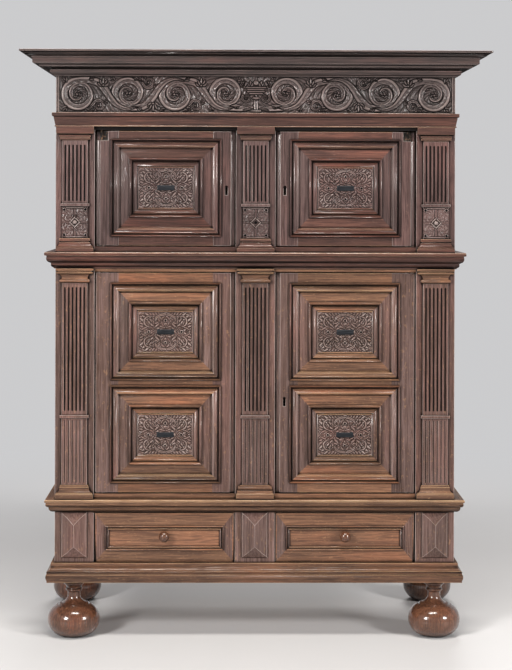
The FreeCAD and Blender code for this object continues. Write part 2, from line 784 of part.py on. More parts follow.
def cornice_section():
    """Cornice frame with its two stages of moulding and the boards on top."""
    inner_x = half_width - cornice_board_thickness
    inner_back = back_y - cornice_board_thickness
    inner_front = front_y + cornice_board_thickness
    board_z = top_z - thin_board_thickness
    side = box(-half_width, -inner_x, inner_front, inner_back, cornice_z, board_z)
    frame = [
        box(-half_width, half_width, front_y, inner_front, cornice_z, board_z),
        box(-half_width, half_width, inner_back, back_y, cornice_z, board_z),
        side, mirrored(side),
    ]
    frame += boards_deep(top_board_count, -half_width, half_width, front_y, back_y, board_z, top_z)
    return {
        "cornice_frame": frame,
        "cornice_bed_mould": wrapped_mould(bed_mould_shares, bed_mould_projection,
                                           bed_mould_height, cornice_z),
        "cornice_crown": wrapped_mould(crown_shares, crown_projection, crown_height, crown_z),
    }


def flute_cutters(centre_x, z0, z1, depth):
    """Round-ended cutters for the flutes of one shaft."""
    radius = (flute_width ** 2 / 4 + depth ** 2) / (depth * 2)
    face = front_y - shaft_thickness
    axis_y = face - radius + depth
    end_run = min(flute_width, depth * 2) / 2
    cutters = []
    for i in range(flute_count):
        x = centre_x + (i - (flute_count - 1) / 2) * flute_pitch
        rod = Part.makeCylinder(radius, z1 - z0 - end_run * 2, Vector(x, axis_y, z0 + end_run),
                                AXIS_Z)
        cutters.append(rod)
        for level, direction in ((z0 + end_run, -AXIS_Z), (z1 - end_run, AXIS_Z)):
            cutters.append(Part.makeCone(radius, radius - depth, end_run,
                                         Vector(x, axis_y, level), direction))
    return cutters


def pilaster_shaft(centre_x, z0, z1, cuts, bands):
    """Planted shaft with its flutes cut and its bands left standing."""
    half = shaft_width / 2
    shaft = box(centre_x - half, centre_x + half, front_y - shaft_thickness, front_y, z0, z1)
    cutters = []
    for low, high, depth in cuts:
        cutters += flute_cutters(centre_x, low, high, depth)
    shaft = shaft.cut(Part.makeCompound(cutters))
    reach = half + band_overhang
    for band_z in bands:
        band = box(centre_x - reach, centre_x + reach, front_y - shaft_thickness - band_rise,
                   front_y, band_z, band_z + band_height)
        shaft = shaft.fuse(band)
    return only_solid(shaft.removeSplitter())


def pilaster_block(shares, height, centre_x, level, projection):
    """Capital or plinth as wide as the stile that carries it."""
    growth = (stile_width - shaft_width) / 2 - cap_side_margin
    return returned_block(shares, height, centre_x, level, shaft_width, growth, shaft_thickness,
                          projection - shaft_thickness)


def carved_block(centre_x, level, has_boss):
    """Square block low on an upper shaft, with its boss or the hole that a lost boss left."""
    face = front_y - shaft_thickness
    origin = Vector(centre_x - shaft_width / 2, face, level)
    steps = (
        (0, 0, carved_block_thickness / 2),
        (carved_block_thickness / 2, carved_block_thickness / 2, carved_block_thickness),
    )
    block = stepped_plate(origin, AXIS_X, AXIS_Z, -AXIS_Y, shaft_width, carved_block_height, steps)
    centre = Vector(centre_x, face - carved_block_thickness, level + carved_block_height / 2)
    if has_boss:
        points = (("from", 0, 0), ("to", block_boss_diameter / 2, 0), ("dome", 0, block_boss_rise))
        boss = turned(points, centre, -AXIS_Y, AXIS_X)
        return only_solid(block.fuse(boss))
    hole = cylinder(block_hole_diameter, block_hole_depth + cut_overrun,
                    centre - AXIS_Y * cut_overrun, AXIS_Y)
    return only_solid(block.cut(hole))


def pilasters():
    """Shafts, caps, plinths and carved blocks of both stages."""
    lower_shaft_z = lower_z + lower_plinth_height
    lower_shaft_top = waist_z - lower_capital_height
    upper_shaft_z = upper_z + upper_plinth_height
    upper_shaft_top = architrave_z - upper_capital_height
    lower_band_z = lower_shaft_z + lower_band_level
    upper_block_z = upper_shaft_z + carved_block_gap
    upper_band_z = upper_block_z + carved_block_height + carved_block_gap
    nodes = {name: [] for name in ("lower_pilaster_shafts", "lower_pilaster_caps",
                                   "upper_pilaster_shafts", "upper_pilaster_caps",
                                   "carved_blocks")}
    for x in (-pilaster_x, 0, pilaster_x):
        lower_cuts = (
            (lower_shaft_z + lower_stopped_margin, lower_band_z - lower_stopped_margin,
             stopped_flute_depth),
            (lower_band_z + band_height + flute_band_gap, lower_shaft_top - flute_end_gap,
             flute_depth),
        )
        nodes["lower_pilaster_shafts"].append(
            pilaster_shaft(x, lower_shaft_z, lower_shaft_top, lower_cuts, [lower_band_z]))
        plinth = lower_plinth_shares if x else centre_plinth_shares
        nodes["lower_pilaster_caps"] += [
            pilaster_block(plinth, lower_plinth_height, x, lower_z, plinth_projection),
            pilaster_block(lower_capital_shares, lower_capital_height, x, lower_shaft_top,
                           capital_projection),
        ]
        upper_cuts = ((upper_band_z + band_height + flute_band_gap / 2,
                       upper_shaft_top - flute_end_gap, flute_depth),)
        nodes["upper_pilaster_shafts"].append(
            pilaster_shaft(x, upper_shaft_z, upper_shaft_top, upper_cuts, [upper_band_z]))
        nodes["upper_pilaster_caps"] += [
            pilaster_block(upper_plinth_shares, upper_plinth_height, x, upper_z,
                           plinth_projection),
            pilaster_block(upper_capital_shares, upper_capital_height, x, upper_shaft_top,
                           capital_projection),
        ]
        nodes["carved_blocks"].append(carved_block(x, upper_block_z, bool(x)))
    return nodes


def door_panel_rows(upper):
    """Bottom and top of each panel's outer moulding in a door."""
    if upper:
        return [(upper_door_z + upper_panel_bottom_margin,
                 upper_door_top - upper_panel_top_margin)]
    low = lower_door_z + lower_panel_bottom_margin
    high = lower_door_top - lower_panel_top_margin
    height = (high - low - lower_panel_middle_gap) / 2
    return [(low, low + height), (high - height, high)]


def keyhole_cutter(z):
    """Keyhole through the lock stile of the left door."""
    x = -door_inner_x - keyhole_inset
    y = door_face_y - cut_overrun
    depth = door_thickness + lock_case_wall + cut_overrun * 2
    top = z + keyhole_height / 2 - keyhole_width / 2
    eye = cylinder(keyhole_width, depth, Vector(x, y, top), AXIS_Y)
    slot = box(x - keyhole_slot_width / 2, x + keyhole_slot_width / 2, y, y + depth,
               z - keyhole_height / 2, top)
    return eye.fuse(slot)


def door_frame(z0, z1, rows, upper, lock_z):
    """Stiles and rails of the left door."""
    outer_x = -door_outer_x
    inner_x = -door_inner_x
    hinge_x = outer_x + panel_hinge_margin + moulding_seat
    lock_x = inner_x - panel_lock_margin - moulding_seat
    hinge_stile = box(outer_x, hinge_x, door_face_y, door_back_y, z0, z1)
    lock_stile = box(lock_x, inner_x, door_face_y, door_back_y, z0, z1)
    rebate_y = door_face_y + edge_rebate_depth
    lock_stile = lock_stile.cut(box(inner_x - edge_rebate_width, inner_x + cut_overrun,
                                    door_face_y - cut_overrun, rebate_y,
                                    z0 - cut_overrun, z1 + cut_overrun))
    if upper:
        hinge_stile = hinge_stile.cut(box(outer_x - cut_overrun, outer_x + edge_rebate_width,
                                          door_face_y - cut_overrun, rebate_y,
                                          z0 - cut_overrun, z1 + cut_overrun))
        hinge_stile = hinge_stile.cut(box(outer_x - cut_overrun, outer_x + notch_width,
                                          door_face_y - cut_overrun, door_face_y + notch_depth,
                                          z1 - notch_height, z1 + cut_overrun))
    if lock_z:
        lock_stile = lock_stile.cut(keyhole_cutter(lock_z))
    pieces = [only_solid(hinge_stile), only_solid(lock_stile)]
    edges = [z0] + [z for row in rows for z in (row[0] + moulding_seat, row[1] - moulding_seat)]
    edges.append(z1)
    for low, high in zip(edges[::2], edges[1::2]):
        pieces.append(box(hinge_x, lock_x, door_face_y, door_back_y, low, high))
    return pieces


def door_panel(x0, x1, z0, z1):
    """Raised panel that fills one opening of a door frame."""
    flat = outer_moulding_width - moulding_seat
    slope_across = inner_frame_inset_across - moulding_seat
    slope_up = inner_frame_inset_up - moulding_seat
    steps = (
        (0, 0, panel_back_thickness),
        (flat, flat, panel_back_thickness),
        (slope_across, slope_up, panel_back_thickness + panel_rise),
    )
    origin = Vector(x0, door_face_y + panel_back_thickness, z0)
    return stepped_plate(origin, AXIS_X, AXIS_Z, -AXIS_Y, x1 - x0, z1 - z0, steps)


def pivot_shoe(z, direction):
    """Iron pivot leaf on the end of the left door, with its collar; direction points off the door."""
    x0 = -door_outer_x + shoe_edge_gap
    low, high = sorted((z, z + direction * shoe_thickness))
    leaf = box(x0, x0 + shoe_width, door_face_y, door_face_y + shoe_depth, low, high)
    axis = AXIS_Z * direction
    base = Vector(-pivot_x, pivot_y, z)
    pin = cylinder(pivot_diameter, door_rail_gap + pivot_length, base, axis)
    collar = cylinder(collar_diameter, door_rail_gap - seat_clearance, base, axis)
    return only_solid(leaf.fuse([pin, collar]).removeSplitter())


def notch_pivot(z1):
    """Pivot plate in the notch at the head of an upper left door, with its pin up into the frieze."""
    x0 = -door_outer_x + edge_rebate_width
    x1 = -door_outer_x + notch_width
    floor_z = z1 - notch_height
    plate_y = door_face_y + notch_depth
    plate = box(x0, x1, plate_y - shoe_thickness, plate_y, floor_z, z1)
    foot = box(x0, x1, door_face_y, plate_y, floor_z, floor_z + shoe_thickness)
    pin = cylinder(pivot_diameter, notch_height + door_rail_gap + pivot_length,
                   Vector(-pivot_x, pivot_y, floor_z), AXIS_Z)
    lug_y = pivot_y
    lug = box(-pivot_x - pivot_diameter / 2, -pivot_x + pivot_diameter / 2, lug_y, plate_y,
              z1 - shoe_height, z1)
    return only_solid(plate.fuse([foot, pin, lug]).removeSplitter())


def lock_case(z):
    """Iron lock case on the inner face of the left door, open towards the muntin for its bolt."""
    x1 = -door_inner_x - lock_case_setback
    x0 = x1 - lock_case_length
    case = box(x0, x1, door_back_y, door_back_y + lock_case_depth,
               z - lock_case_height / 2, z + lock_case_height / 2)
    half = bolt_height / 2 + bolt_clearance
    channel_y = door_back_y + lock_case_wall
    channel = box(x1 - bolt_length - lock_case_wall, x1 + cut_overrun, channel_y,
                  channel_y + bolt_thickness + bolt_clearance * 2, z - half, z + half)
    return only_solid(case.cut(channel).cut(keyhole_cutter(z)))


def lock_bolt(z):
    """Bolt of the left door's lock, drawn back into its case."""
    x1 = -door_inner_x - lock_case_setback
    return box(x1 - bolt_length, x1, bolt_face_y, bolt_face_y + bolt_thickness,
               z - bolt_height / 2, z + bolt_height / 2)


def button_pin():
    """Boss, pin and head that carry the turn button on the left door."""
    base = Vector(-button_x, door_back_y, button_z)
    boss = cylinder(button_boss_diameter, button_boss_height, base, AXIS_Y)
    reach = button_boss_height + button_thickness + seat_clearance * 2
    pin = cylinder(pivot_diameter, reach, base, AXIS_Y)
    head = cylinder(button_head_diameter, button_head_height, base + AXIS_Y * reach, AXIS_Y)
    return only_solid(boss.fuse([pin, head]).removeSplitter())


def turn_button():
    """Turn button of the left door, standing upright and clear of the muntin."""
    y0 = door_back_y + button_boss_height + seat_clearance
    half = button_width / 2
    low = button_z - button_short_arm
    high = button_z + button_long_arm
    bar = box(-button_x - half, -button_x + half, y0, y0 + button_thickness, low + half, high - half)
    for level in (low + half, high - half):
        end = cylinder(button_width, button_thickness, Vector(-button_x, y0, level), AXIS_Y)
        bar = bar.fuse(end)
    bore = cylinder(pivot_diameter + pivot_clearance * 2, button_thickness + cut_overrun * 2,
                    Vector(-button_x, y0 - cut_overrun, button_z), AXIS_Y)
    return only_solid(bar.cut(bore).removeSplitter())


def door(name, upper, left, locked):
    """All nodes of one door, drawn as the left one and mirrored for the right."""
    z0, z1 = (upper_door_z, upper_door_top) if upper else (lower_door_z, lower_door_top)
    lock_z = z0 + (lock_level_upper if upper else lock_level_lower) if locked else None
    rows = door_panel_rows(upper)
    x0 = -door_outer_x + panel_hinge_margin
    x1 = -door_inner_x - panel_lock_margin
    mouldings, panels, bars = [], [], []
    plateau_y = door_face_y - panel_rise
    for low, high in rows:
        mouldings += planted_frame(outer_moulding_shares, outer_moulding_width,
                                   outer_moulding_height, x0, x1, low, high, door_face_y)
        inset = inner_frame_inset_across
        rise = inner_frame_inset_up
        mouldings += planted_frame(inner_moulding_shares, inner_moulding_width,
                                   inner_moulding_height, x0 + inset, x1 - inset,
                                   low + rise, high - rise, plateau_y)
        seat = moulding_seat
        panels.append(door_panel(x0 + seat, x1 - seat, low + seat, high - seat))
        steps = ((0, 0, ebony_bar_thickness - ebony_bar_bevel),
                 (ebony_bar_bevel, ebony_bar_bevel, ebony_bar_thickness))
        centre = Vector((x0 + x1) / 2, plateau_y, (low + high) / 2)
        corner = centre - AXIS_X * (ebony_bar_length / 2) - AXIS_Z * (ebony_bar_height / 2)
        bars.append(stepped_plate(corner, AXIS_X, AXIS_Z, -AXIS_Y, ebony_bar_length,
                                  ebony_bar_height, steps))
    ironwork = [pivot_shoe(z0, -1), notch_pivot(z1) if upper else pivot_shoe(z1, 1)]
    nodes = {}
    if locked:
        ironwork.append(lock_case(lock_z))
        nodes[name + "_bolt"] = [lock_bolt(lock_z)]
    else:
        ironwork.append(button_pin())
        nodes[name + "_button"] = [turn_button()]
    nodes[name + "_frame"] = door_frame(z0, z1, rows, upper, lock_z)
    nodes[name + "_mouldings"] = mouldings
    nodes[name + "_panels"] = panels
    nodes[name + "_ebony_bars"] = bars
    nodes[name + "_ironwork"] = ironwork
    if left:
        return nodes
    return {key: [mirrored(piece) for piece in pieces] for key, pieces in nodes.items()}


def drawer_knob():
    """Turned knob of the left drawer, with its shank in the drawer front."""
    z = (drawer_front_low + drawer_front_high) / 2 + knob_lift
    face = drawer_face_y - drawer_border_rise
    radius = knob_diameter / 2
    collar = knob_collar_diameter / 2
    neck = knob_neck_diameter / 2
    widest = knob_length - knob_crown_height
    points = (
        ("from", 0, -knob_shank_length),
        ("to", knob_shank_diameter / 2, -knob_shank_length),
        ("to", knob_shank_diameter / 2, 0),
        ("to", collar, 0),
        ("to", collar, knob_collar_height / 2),
        ("arc", neck, knob_collar_height * 2, neck + (collar - neck) * quarter_share,
         knob_collar_height),
        ("to", neck, widest - knob_crown_height),
        ("arc", radius, widest, radius - (radius - neck) * quarter_share,
         widest - knob_crown_height * (1 - quarter_share)),
        ("dome", 0, knob_length),
    )
    centre = Vector(-(door_outer_x + door_inner_x) / 2, face, z)
    return turned(points, centre, -AXIS_Y, AXIS_X)


drawer_face_y = front_y + drawer_recess
drawer_front_low = drawer_z + drawer_bottom_gap
drawer_front_high = base_opening_top - drawer_top_gap


def drawer(name, left):
    """Front, box and knob of one drawer, drawn as the left one and mirrored for the right."""
    x0 = -opening_outer_x + drawer_side_gap
    x1 = -opening_inner_x - drawer_lock_gap
    width = x1 - x0
    height = drawer_front_high - drawer_front_low
    front_back_y = drawer_face_y + drawer_front_thickness
    steps = (
        (0, 0, drawer_front_thickness),
        (drawer_edge_flat, drawer_edge_flat, drawer_front_thickness),
        (drawer_border_across, drawer_border_up, drawer_front_thickness + drawer_border_rise),
    )
    origin = Vector(x0, front_back_y, drawer_front_low)
    front = stepped_plate(origin, AXIS_X, AXIS_Z, -AXIS_Y, width, height, steps)
    knob = drawer_knob()
    shank_bore = cylinder(knob_shank_diameter, knob_shank_length + cut_overrun,
                          Vector(knob.BoundBox.Center.x, drawer_face_y - drawer_border_rise
                                 - cut_overrun, knob.BoundBox.Center.z), AXIS_Y)
    front = only_solid(front.cut(shank_bore))
    moulding = planted_frame(drawer_moulding_shares, drawer_moulding_width,
                             drawer_moulding_height, x0 + drawer_border_across,
                             x1 - drawer_border_across, drawer_front_low + drawer_border_up,
                             drawer_front_high - drawer_border_up,
                             drawer_face_y - drawer_border_rise)
    box_x0 = x0 + drawer_box_inset
    box_x1 = x1 - drawer_box_inset
    low = drawer_z + seat_clearance
    high = low + drawer_box_height
    end_y = front_back_y + drawer_box_length
    floor_z = low + drawer_bottom_lift
    pieces = [
        box(box_x0, box_x0 + drawer_wall, front_back_y, end_y, low, high),
        box(box_x1 - drawer_wall, box_x1, front_back_y, end_y, low, high),
        box(box_x0 + drawer_wall, box_x1 - drawer_wall, end_y - drawer_wall, end_y, low, high),
        box(box_x0 + drawer_wall, box_x1 - drawer_wall, front_back_y, end_y - drawer_wall,
            floor_z, floor_z + drawer_bottom_thickness),
    ]
    nodes = {name + "_front": [front] + moulding, name + "_box": pieces, name + "_knob": [knob]}
    if left:
        return nodes
    return {key: [mirrored(piece) for piece in group] for key, group in nodes.items()}


def build():
    """Every node of the cupboard, by name."""
    nodes = {name: [bun_foot(place)] for name, place in FOOT_PLACES.items()}
    nodes.update(base_section())
    nodes.update(lower_section())
    nodes.update(upper_section())
    nodes.update(cornice_section())
    nodes.update(pilasters())
    nodes.update(door("upper_left_door", True, True, True))
    nodes.update(door("upper_right_door", True, False, True))
    nodes.update(door("lower_left_door", False, True, False))
    nodes.update(door("lower_right_door", False, False, True))
    nodes.update(drawer("left_drawer", True))
    nodes.update(drawer("right_drawer", False))
    return nodes


os.makedirs("parts", exist_ok=True)
parts = build()
for node_name, pieces in parts.items():
    shape = pieces[0] if len(pieces) == 1 else Part.makeCompound(pieces)
    shape.exportStep("parts/" + node_name + ".step")
    print(node_name, len(pieces), "solids, volume %.0f" % sum(piece.Volume for piece in pieces))
print(len(parts), "nodes")
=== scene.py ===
"""Finishes, carves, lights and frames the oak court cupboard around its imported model."""

from __future__ import annotations

import json
import logging
import math
import random
from collections import Counter
from dataclasses import dataclass, field
from enum import Enum

import bmesh
import bpy
import numpy as np
from bmesh.types import BMEdge, BMesh, BMFace, BMVert
from bpy.types import Material, Mesh, Node, NodeSocket, NodeTree, Object
from mathutils import Euler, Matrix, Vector
from mathutils.bvhtree import BVHTree

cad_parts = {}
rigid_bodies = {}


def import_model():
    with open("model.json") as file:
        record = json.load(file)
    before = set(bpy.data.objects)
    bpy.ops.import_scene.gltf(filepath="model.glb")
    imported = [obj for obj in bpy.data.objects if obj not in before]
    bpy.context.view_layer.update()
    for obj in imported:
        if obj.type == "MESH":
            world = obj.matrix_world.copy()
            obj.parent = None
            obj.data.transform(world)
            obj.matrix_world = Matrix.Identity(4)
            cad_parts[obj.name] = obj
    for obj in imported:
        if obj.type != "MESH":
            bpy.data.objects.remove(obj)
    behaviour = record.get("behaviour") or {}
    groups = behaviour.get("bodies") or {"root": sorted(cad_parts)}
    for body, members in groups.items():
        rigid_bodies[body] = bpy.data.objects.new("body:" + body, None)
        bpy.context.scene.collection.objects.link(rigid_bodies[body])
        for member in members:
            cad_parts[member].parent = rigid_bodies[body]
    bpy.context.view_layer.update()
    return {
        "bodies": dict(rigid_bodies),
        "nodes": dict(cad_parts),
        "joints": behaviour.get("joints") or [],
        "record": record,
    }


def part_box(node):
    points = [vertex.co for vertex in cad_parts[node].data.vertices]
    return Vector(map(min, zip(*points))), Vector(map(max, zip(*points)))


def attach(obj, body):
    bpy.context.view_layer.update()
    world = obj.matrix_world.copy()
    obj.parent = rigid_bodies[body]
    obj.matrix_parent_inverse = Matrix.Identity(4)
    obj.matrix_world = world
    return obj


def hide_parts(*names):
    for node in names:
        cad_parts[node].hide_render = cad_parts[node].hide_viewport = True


LOG = logging.getLogger("court_cupboard")

MM = 0.001
Colour = tuple[float, float, float, float]
Point = tuple[float, float]


def shade(red: float, green: float, blue: float) -> Colour:
    """Opaque colour from its three linear parts."""
    return (red, green, blue, 1.0)


class GrainAxis(Enum):
    """Direction that the grain of a board runs in."""

    X = 0
    Y = 1
    Z = 2


class Cut(Enum):
    """Shape that a carved stroke has across its width."""

    ROUND = "round"
    CHANNEL = "channel"
    STEM = "stem"
    LEAF = "leaf"
    FLAT = "flat"
    PIT = "pit"


@dataclass(frozen=True)
class Waves:
    """One noise of a finish.

    Args:
        scale: Waves to the metre.
        stretch: Scale of each axis, where a small one draws the noise out along it.
        low: Value of the noise at which its mark starts.
        high: Value of the noise at which its mark is full.
        detail: How many finer waves are added.
        distortion: How much the noise is bent.
    """

    scale: float
    stretch: tuple[float, float, float] = (1.0, 1.0, 1.0)
    low: float = 0.0
    high: float = 1.0
    detail: float = 3.0
    distortion: float = 0.0


@dataclass
class Graph:
    """Adds and joins the nodes of one node tree.

    Args:
        tree: The tree that the nodes go into.
    """

    tree: NodeTree

    def add(self, kind: str, **settings: object) -> Node:
        """Adds a node.

        Args:
            kind: The node's type without its ShaderNode prefix.
            settings: Values of the node's own properties.

        Returns:
            The new node.
        """
        node = self.tree.nodes.new("ShaderNode" + kind)
        for name, value in settings.items():
            setattr(node, name, value)
        return node

    def feed(self, socket: NodeSocket, value: object) -> None:
        """Joins a socket to another, or sets it to a plain value.

        Args:
            socket: The input.
            value: The output that it is joined to, or its plain value.
        """
        if isinstance(value, NodeSocket):
            self.tree.links.new(value, socket)
        else:
            socket.default_value = value

    def fill(self, node: Node, values: dict[str, object]) -> None:
        """Joins or sets several inputs of a node.

        Args:
            node: The node.
            values: What each input takes, by its name.
        """
        for name, value in values.items():
            self.feed(node.inputs[name], value)

    def math(self, operation: str, first: object, second: object = 0.0, third: object = 0.0,
             clamp: bool = False) -> NodeSocket:
        """Adds a math node.

        Args:
            operation: The name of the operation.
            first: The first socket or number.
            second: The second socket or number.
            third: The third socket or number, for an operation that takes one.
            clamp: Whether the result is kept between 0 and 1.

        Returns:
            The node's output.
        """
        node = self.add("Math", operation=operation, use_clamp=clamp)
        for socket, value in zip(node.inputs, (first, second, third)):
            self.feed(socket, value)
        return node.outputs[0]

    def blend(self, factor: object, first: object, second: object, mode: str = "MIX") -> NodeSocket:
        """Mixes two colours.

        Args:
            factor: How much of the second colour shows.
            first: The colour underneath.
            second: The colour on top.
            mode: The way in which they mix.

        Returns:
            The mixed colour.
        """
        node = self.add("Mix", data_type="RGBA", blend_type=mode, clamp_factor=True)
        self.feed(node.inputs["Factor"], factor)
        self.feed(node.inputs[6], first)
        self.feed(node.inputs[7], second)
        return node.outputs[2]

    def range(self, value: object, low: float, high: float, start: float = 0.0,
              end: float = 1.0) -> NodeSocket:
        """Maps a value from one range to another, smoothly and within its ends.

        Args:
            value: The socket that is read.
            low: The value that gives the start.
            high: The value that gives the end.
            start: The result at the low value.
            end: The result at the high value.

        Returns:
            The mapped value.
        """
        node = self.add("MapRange", interpolation_type="SMOOTHSTEP")
        self.fill(node, {"Value": value, "From Min": low, "From Max": high, "To Min": start,
                         "To Max": end})
        return node.outputs["Result"]

    def noise(self, place: NodeSocket, waves: Waves) -> NodeSocket:
        """Adds a noise.

        Args:
            place: The place that the noise is read at.
            waves: The noise's measures.

        Returns:
            The noise's value.
        """
        mapping = self.add("Mapping")
        self.fill(mapping, {"Vector": place, "Scale": waves.stretch})
        node = self.add("TexNoise")
        self.fill(node, {"Vector": mapping.outputs[0], "Scale": waves.scale, "Detail": waves.detail,
                         "Distortion": waves.distortion})
        return node.outputs["Fac"]

    def marks(self, place: NodeSocket, waves: Waves) -> NodeSocket:
        """Adds a noise of which only the marks show.

        Args:
            place: The place that the noise is read at.
            waves: The noise's measures.

        Returns:
            How strongly the marks show, from 0 to 1.
        """
        return self.range(self.noise(place, waves), waves.low, waves.high)

    def bump(self, height: NodeSocket, strength: float, distance: float) -> NodeSocket:
        """Adds a bump.

        Args:
            height: The height that the surface follows.
            strength: How strongly it follows.
            distance: Height of a full step, in metres.

        Returns:
            The bent normal.
        """
        node = self.add("Bump")
        self.fill(node, {"Strength": strength, "Distance": distance, "Height": height})
        return node.outputs[0]

    def stored(self, name: str, output: str = "Fac") -> NodeSocket:
        """Reads what the mesh stores.

        Args:
            name: The name that it is stored under.
            output: The node's output that gives it.

        Returns:
            The stored value.
        """
        node = self.add("Attribute", attribute_type="GEOMETRY", attribute_name=name)
        return node.outputs[output]


def start_material(name: str) -> tuple[Material, Graph, Node]:
    """Starts a material.

    Args:
        name: The material's name.

    Returns:
        The material, the graph of its nodes and its shader.
    """
    made = bpy.data.materials.new(name)
    made.use_nodes = True
    return made, Graph(made.node_tree), made.node_tree.nodes["Principled BSDF"]


@dataclass
class GroupMaker:
    """Starts a node group with named inputs and outputs.

    Args:
        name: The group's name.
    """

    name: str

    def start(self, inputs: dict[str, str], outputs: dict[str, str]) -> tuple[Graph, Node, Node]:
        """Makes the group's tree.

        Args:
            inputs: Socket types by input name.
            outputs: Socket types by output name.

        Returns:
            The tree's graph, its input node and its output node.
        """
        tree = bpy.data.node_groups.new(self.name, "ShaderNodeTree")
        for name, kind in inputs.items():
            tree.interface.new_socket(name, in_out="INPUT", socket_type="NodeSocket" + kind)
        for name, kind in outputs.items():
            tree.interface.new_socket(name, in_out="OUTPUT", socket_type="NodeSocket" + kind)
        graph = Graph(tree)
        return graph, graph.tree.nodes.new("NodeGroupInput"), graph.tree.nodes.new("NodeGroupOutput")


@dataclass
class OakFigure:
    """The figure of the oak, whose grain runs along the third axis of the vector that is read.

    Args:
        bands: The growth bands, which are a noise folded over.
        pores: The open pores.
        rays: The ray flecks.
        streaks: Fine streaks along the grain.
        stains: Broad stains.
        folds: How often the noise of the bands is folded.
        fold_height: Height of one fold.
        band_light: How much the bands lighten the wood.
        stain_light: How much the stains lighten it.
        streak_light: How much the streaks lighten it.
        pore_dark: How dark the pores are.
        band_height: How far the bands stand up, where a pore is 1 deep.
        red_cast: What a red board's colour is multiplied by.
        red_folds: Spreads a board's tone into how red it is.
        darkest: What the colour of the darkest board is multiplied by.
        lightest: What the colour of the lightest board is multiplied by.
        tree: The group's tree once it is built.
    """

    bands: Waves = Waves(85.0, (1.0, 0.55, 0.035), 0.02, 0.42, 2.0, 0.4)
    pores: Waves = Waves(620.0, (1.0, 1.0, 0.03), 0.52, 0.66, 1.0)
    rays: Waves = Waves(260.0, (0.5, 1.0, 0.28), 0.62, 0.74, 1.0, 0.8)
    streaks: Waves = Waves(210.0, (1.0, 1.0, 0.012), 0.36, 0.64, 2.0)
    stains: Waves = Waves(7.0, (1.0, 1.0, 0.4), 0.3, 0.72, 4.0)
    folds: float = 5.0
    fold_height: float = 0.5
    band_light: float = 0.36
    stain_light: float = 0.42
    streak_light: float = 0.3
    pore_dark: float = 0.55
    band_height: float = 0.35
    red_cast: Colour = shade(1.2, 0.88, 0.8)
    red_folds: float = 7.3
    darkest: float = 0.78
    lightest: float = 1.26
    tree: NodeTree | None = field(default=None, init=False)

    def group(self) -> NodeTree:
        """Builds the group, once only.

        Returns:
            The group's tree.
        """
        if self.tree is not None:
            return self.tree
        graph, given, result = GroupMaker("Oak figure").start(
            {"Grain": "Vector", "Tone": "Float", "Upright": "Float", "Deep": "Color", "Body": "Color",
             "Cool": "Color", "Bright": "Color", "Rays": "Float"},
            {"Color": "Color", "Height": "Float", "Polish": "Float"})
        grain, tone, upright, deep, body, cool, bright, strength = list(given.outputs)[:8]
        bands = graph.math("MULTIPLY", graph.noise(grain, self.bands), self.folds)
        bands = graph.math("PINGPONG", bands, self.fold_height)
        bands = graph.range(bands, self.bands.low, self.bands.high)
        pores = graph.marks(grain, self.pores)
        stains = graph.marks(grain, self.stains)
        rays = graph.math("MULTIPLY", graph.marks(grain, self.rays), strength)
        streaks = graph.marks(grain, self.streaks)
        light = graph.math("MULTIPLY", stains, self.stain_light)
        light = graph.math("MULTIPLY_ADD", bands, self.band_light, light)
        light = graph.math("ADD", light, graph.math("MULTIPLY", streaks, self.streak_light))
        # Painted sheen of the side light on upright grain
        body = graph.blend(upright, body, cool)
        redness = graph.math("FRACT", graph.math("MULTIPLY", tone, self.red_folds))
        redness = graph.math("MULTIPLY", redness, stains)
        body = graph.blend(redness, body, graph.blend(1.0, body, self.red_cast, "MULTIPLY"))
        colour = graph.blend(light, deep, body)
        colour = graph.blend(rays, colour, bright)
        colour = graph.blend(graph.math("MULTIPLY", pores, self.pore_dark), colour, deep)
        brighten = graph.add("CombineColor")
        factor = graph.range(tone, 0.0, 1.0, self.darkest, self.lightest)
        for socket in brighten.inputs:
            graph.feed(socket, factor)
        colour = graph.blend(1.0, colour, brighten.outputs[0], "MULTIPLY")
        height = graph.math("SUBTRACT", graph.math("MULTIPLY", bands, self.band_height), pores)
        graph.fill(result, {"Color": colour, "Height": height,
                            "Polish": graph.math("SUBTRACT", stains, pores)})
        self.tree = graph.tree
        return self.tree


@dataclass
class OldSurface:
    """Wear on the arrises, and soiling with painted shade in the hollows, of an old waxed surface.

    Args:
        patches: Where the arrises are rubbed more and less.
        least_rubbed: Share of the wear in the least rubbed places.
        shut: Openness at which a hollow takes the full soiling and painted shade.
        clear: Openness of a place that takes none of them.
        hollow_dirt: How strongly soiling and painted shade darken a shut hollow.
        tree: The group's tree once it is built.
    """

    patches: Waves = Waves(9.0, low=0.3, high=0.66, detail=4.0)
    least_rubbed: float = 0.45
    shut: float = 0.42
    clear: float = 0.94
    hollow_dirt: float = 0.96
    tree: NodeTree | None = field(default=None, init=False)

    def group(self) -> NodeTree:
        """Builds the group, once only.

        Returns:
            The group's tree.
        """
        if self.tree is not None:
            return self.tree
        graph, given, result = GroupMaker("Old surface").start(
            {"Color": "Color", "Place": "Vector", "Arris": "Float", "Hollow": "Float",
             "Openness": "Float", "Worn": "Color", "Dirt": "Color", "Wear": "Float"},
            {"Color": "Color", "Soil and shade": "Float"})
        colour, place, arris, hollow, openness, bare, dirt, wear = list(given.outputs)[:8]
        patches = graph.noise(place, self.patches)
        patches = graph.range(patches, self.patches.low, self.patches.high, self.least_rubbed, 1.0)
        worn = graph.math("MULTIPLY", graph.math("MULTIPLY", arris, patches), wear, clamp=True)
        # Hollows that occlusion finds are darkened, partly soiling and partly painted shade
        shut = graph.range(openness, self.shut, self.clear, 1.0, 0.0)
        dirt_and_shade_mask = graph.math("MAXIMUM", graph.math("MULTIPLY", shut, self.hollow_dirt), hollow)
        colour = graph.blend(dirt_and_shade_mask, graph.blend(worn, colour, bare), dirt)
        graph.fill(result, {"Color": colour, "Soil and shade": dirt_and_shade_mask})
        self.tree = graph.tree
        return self.tree


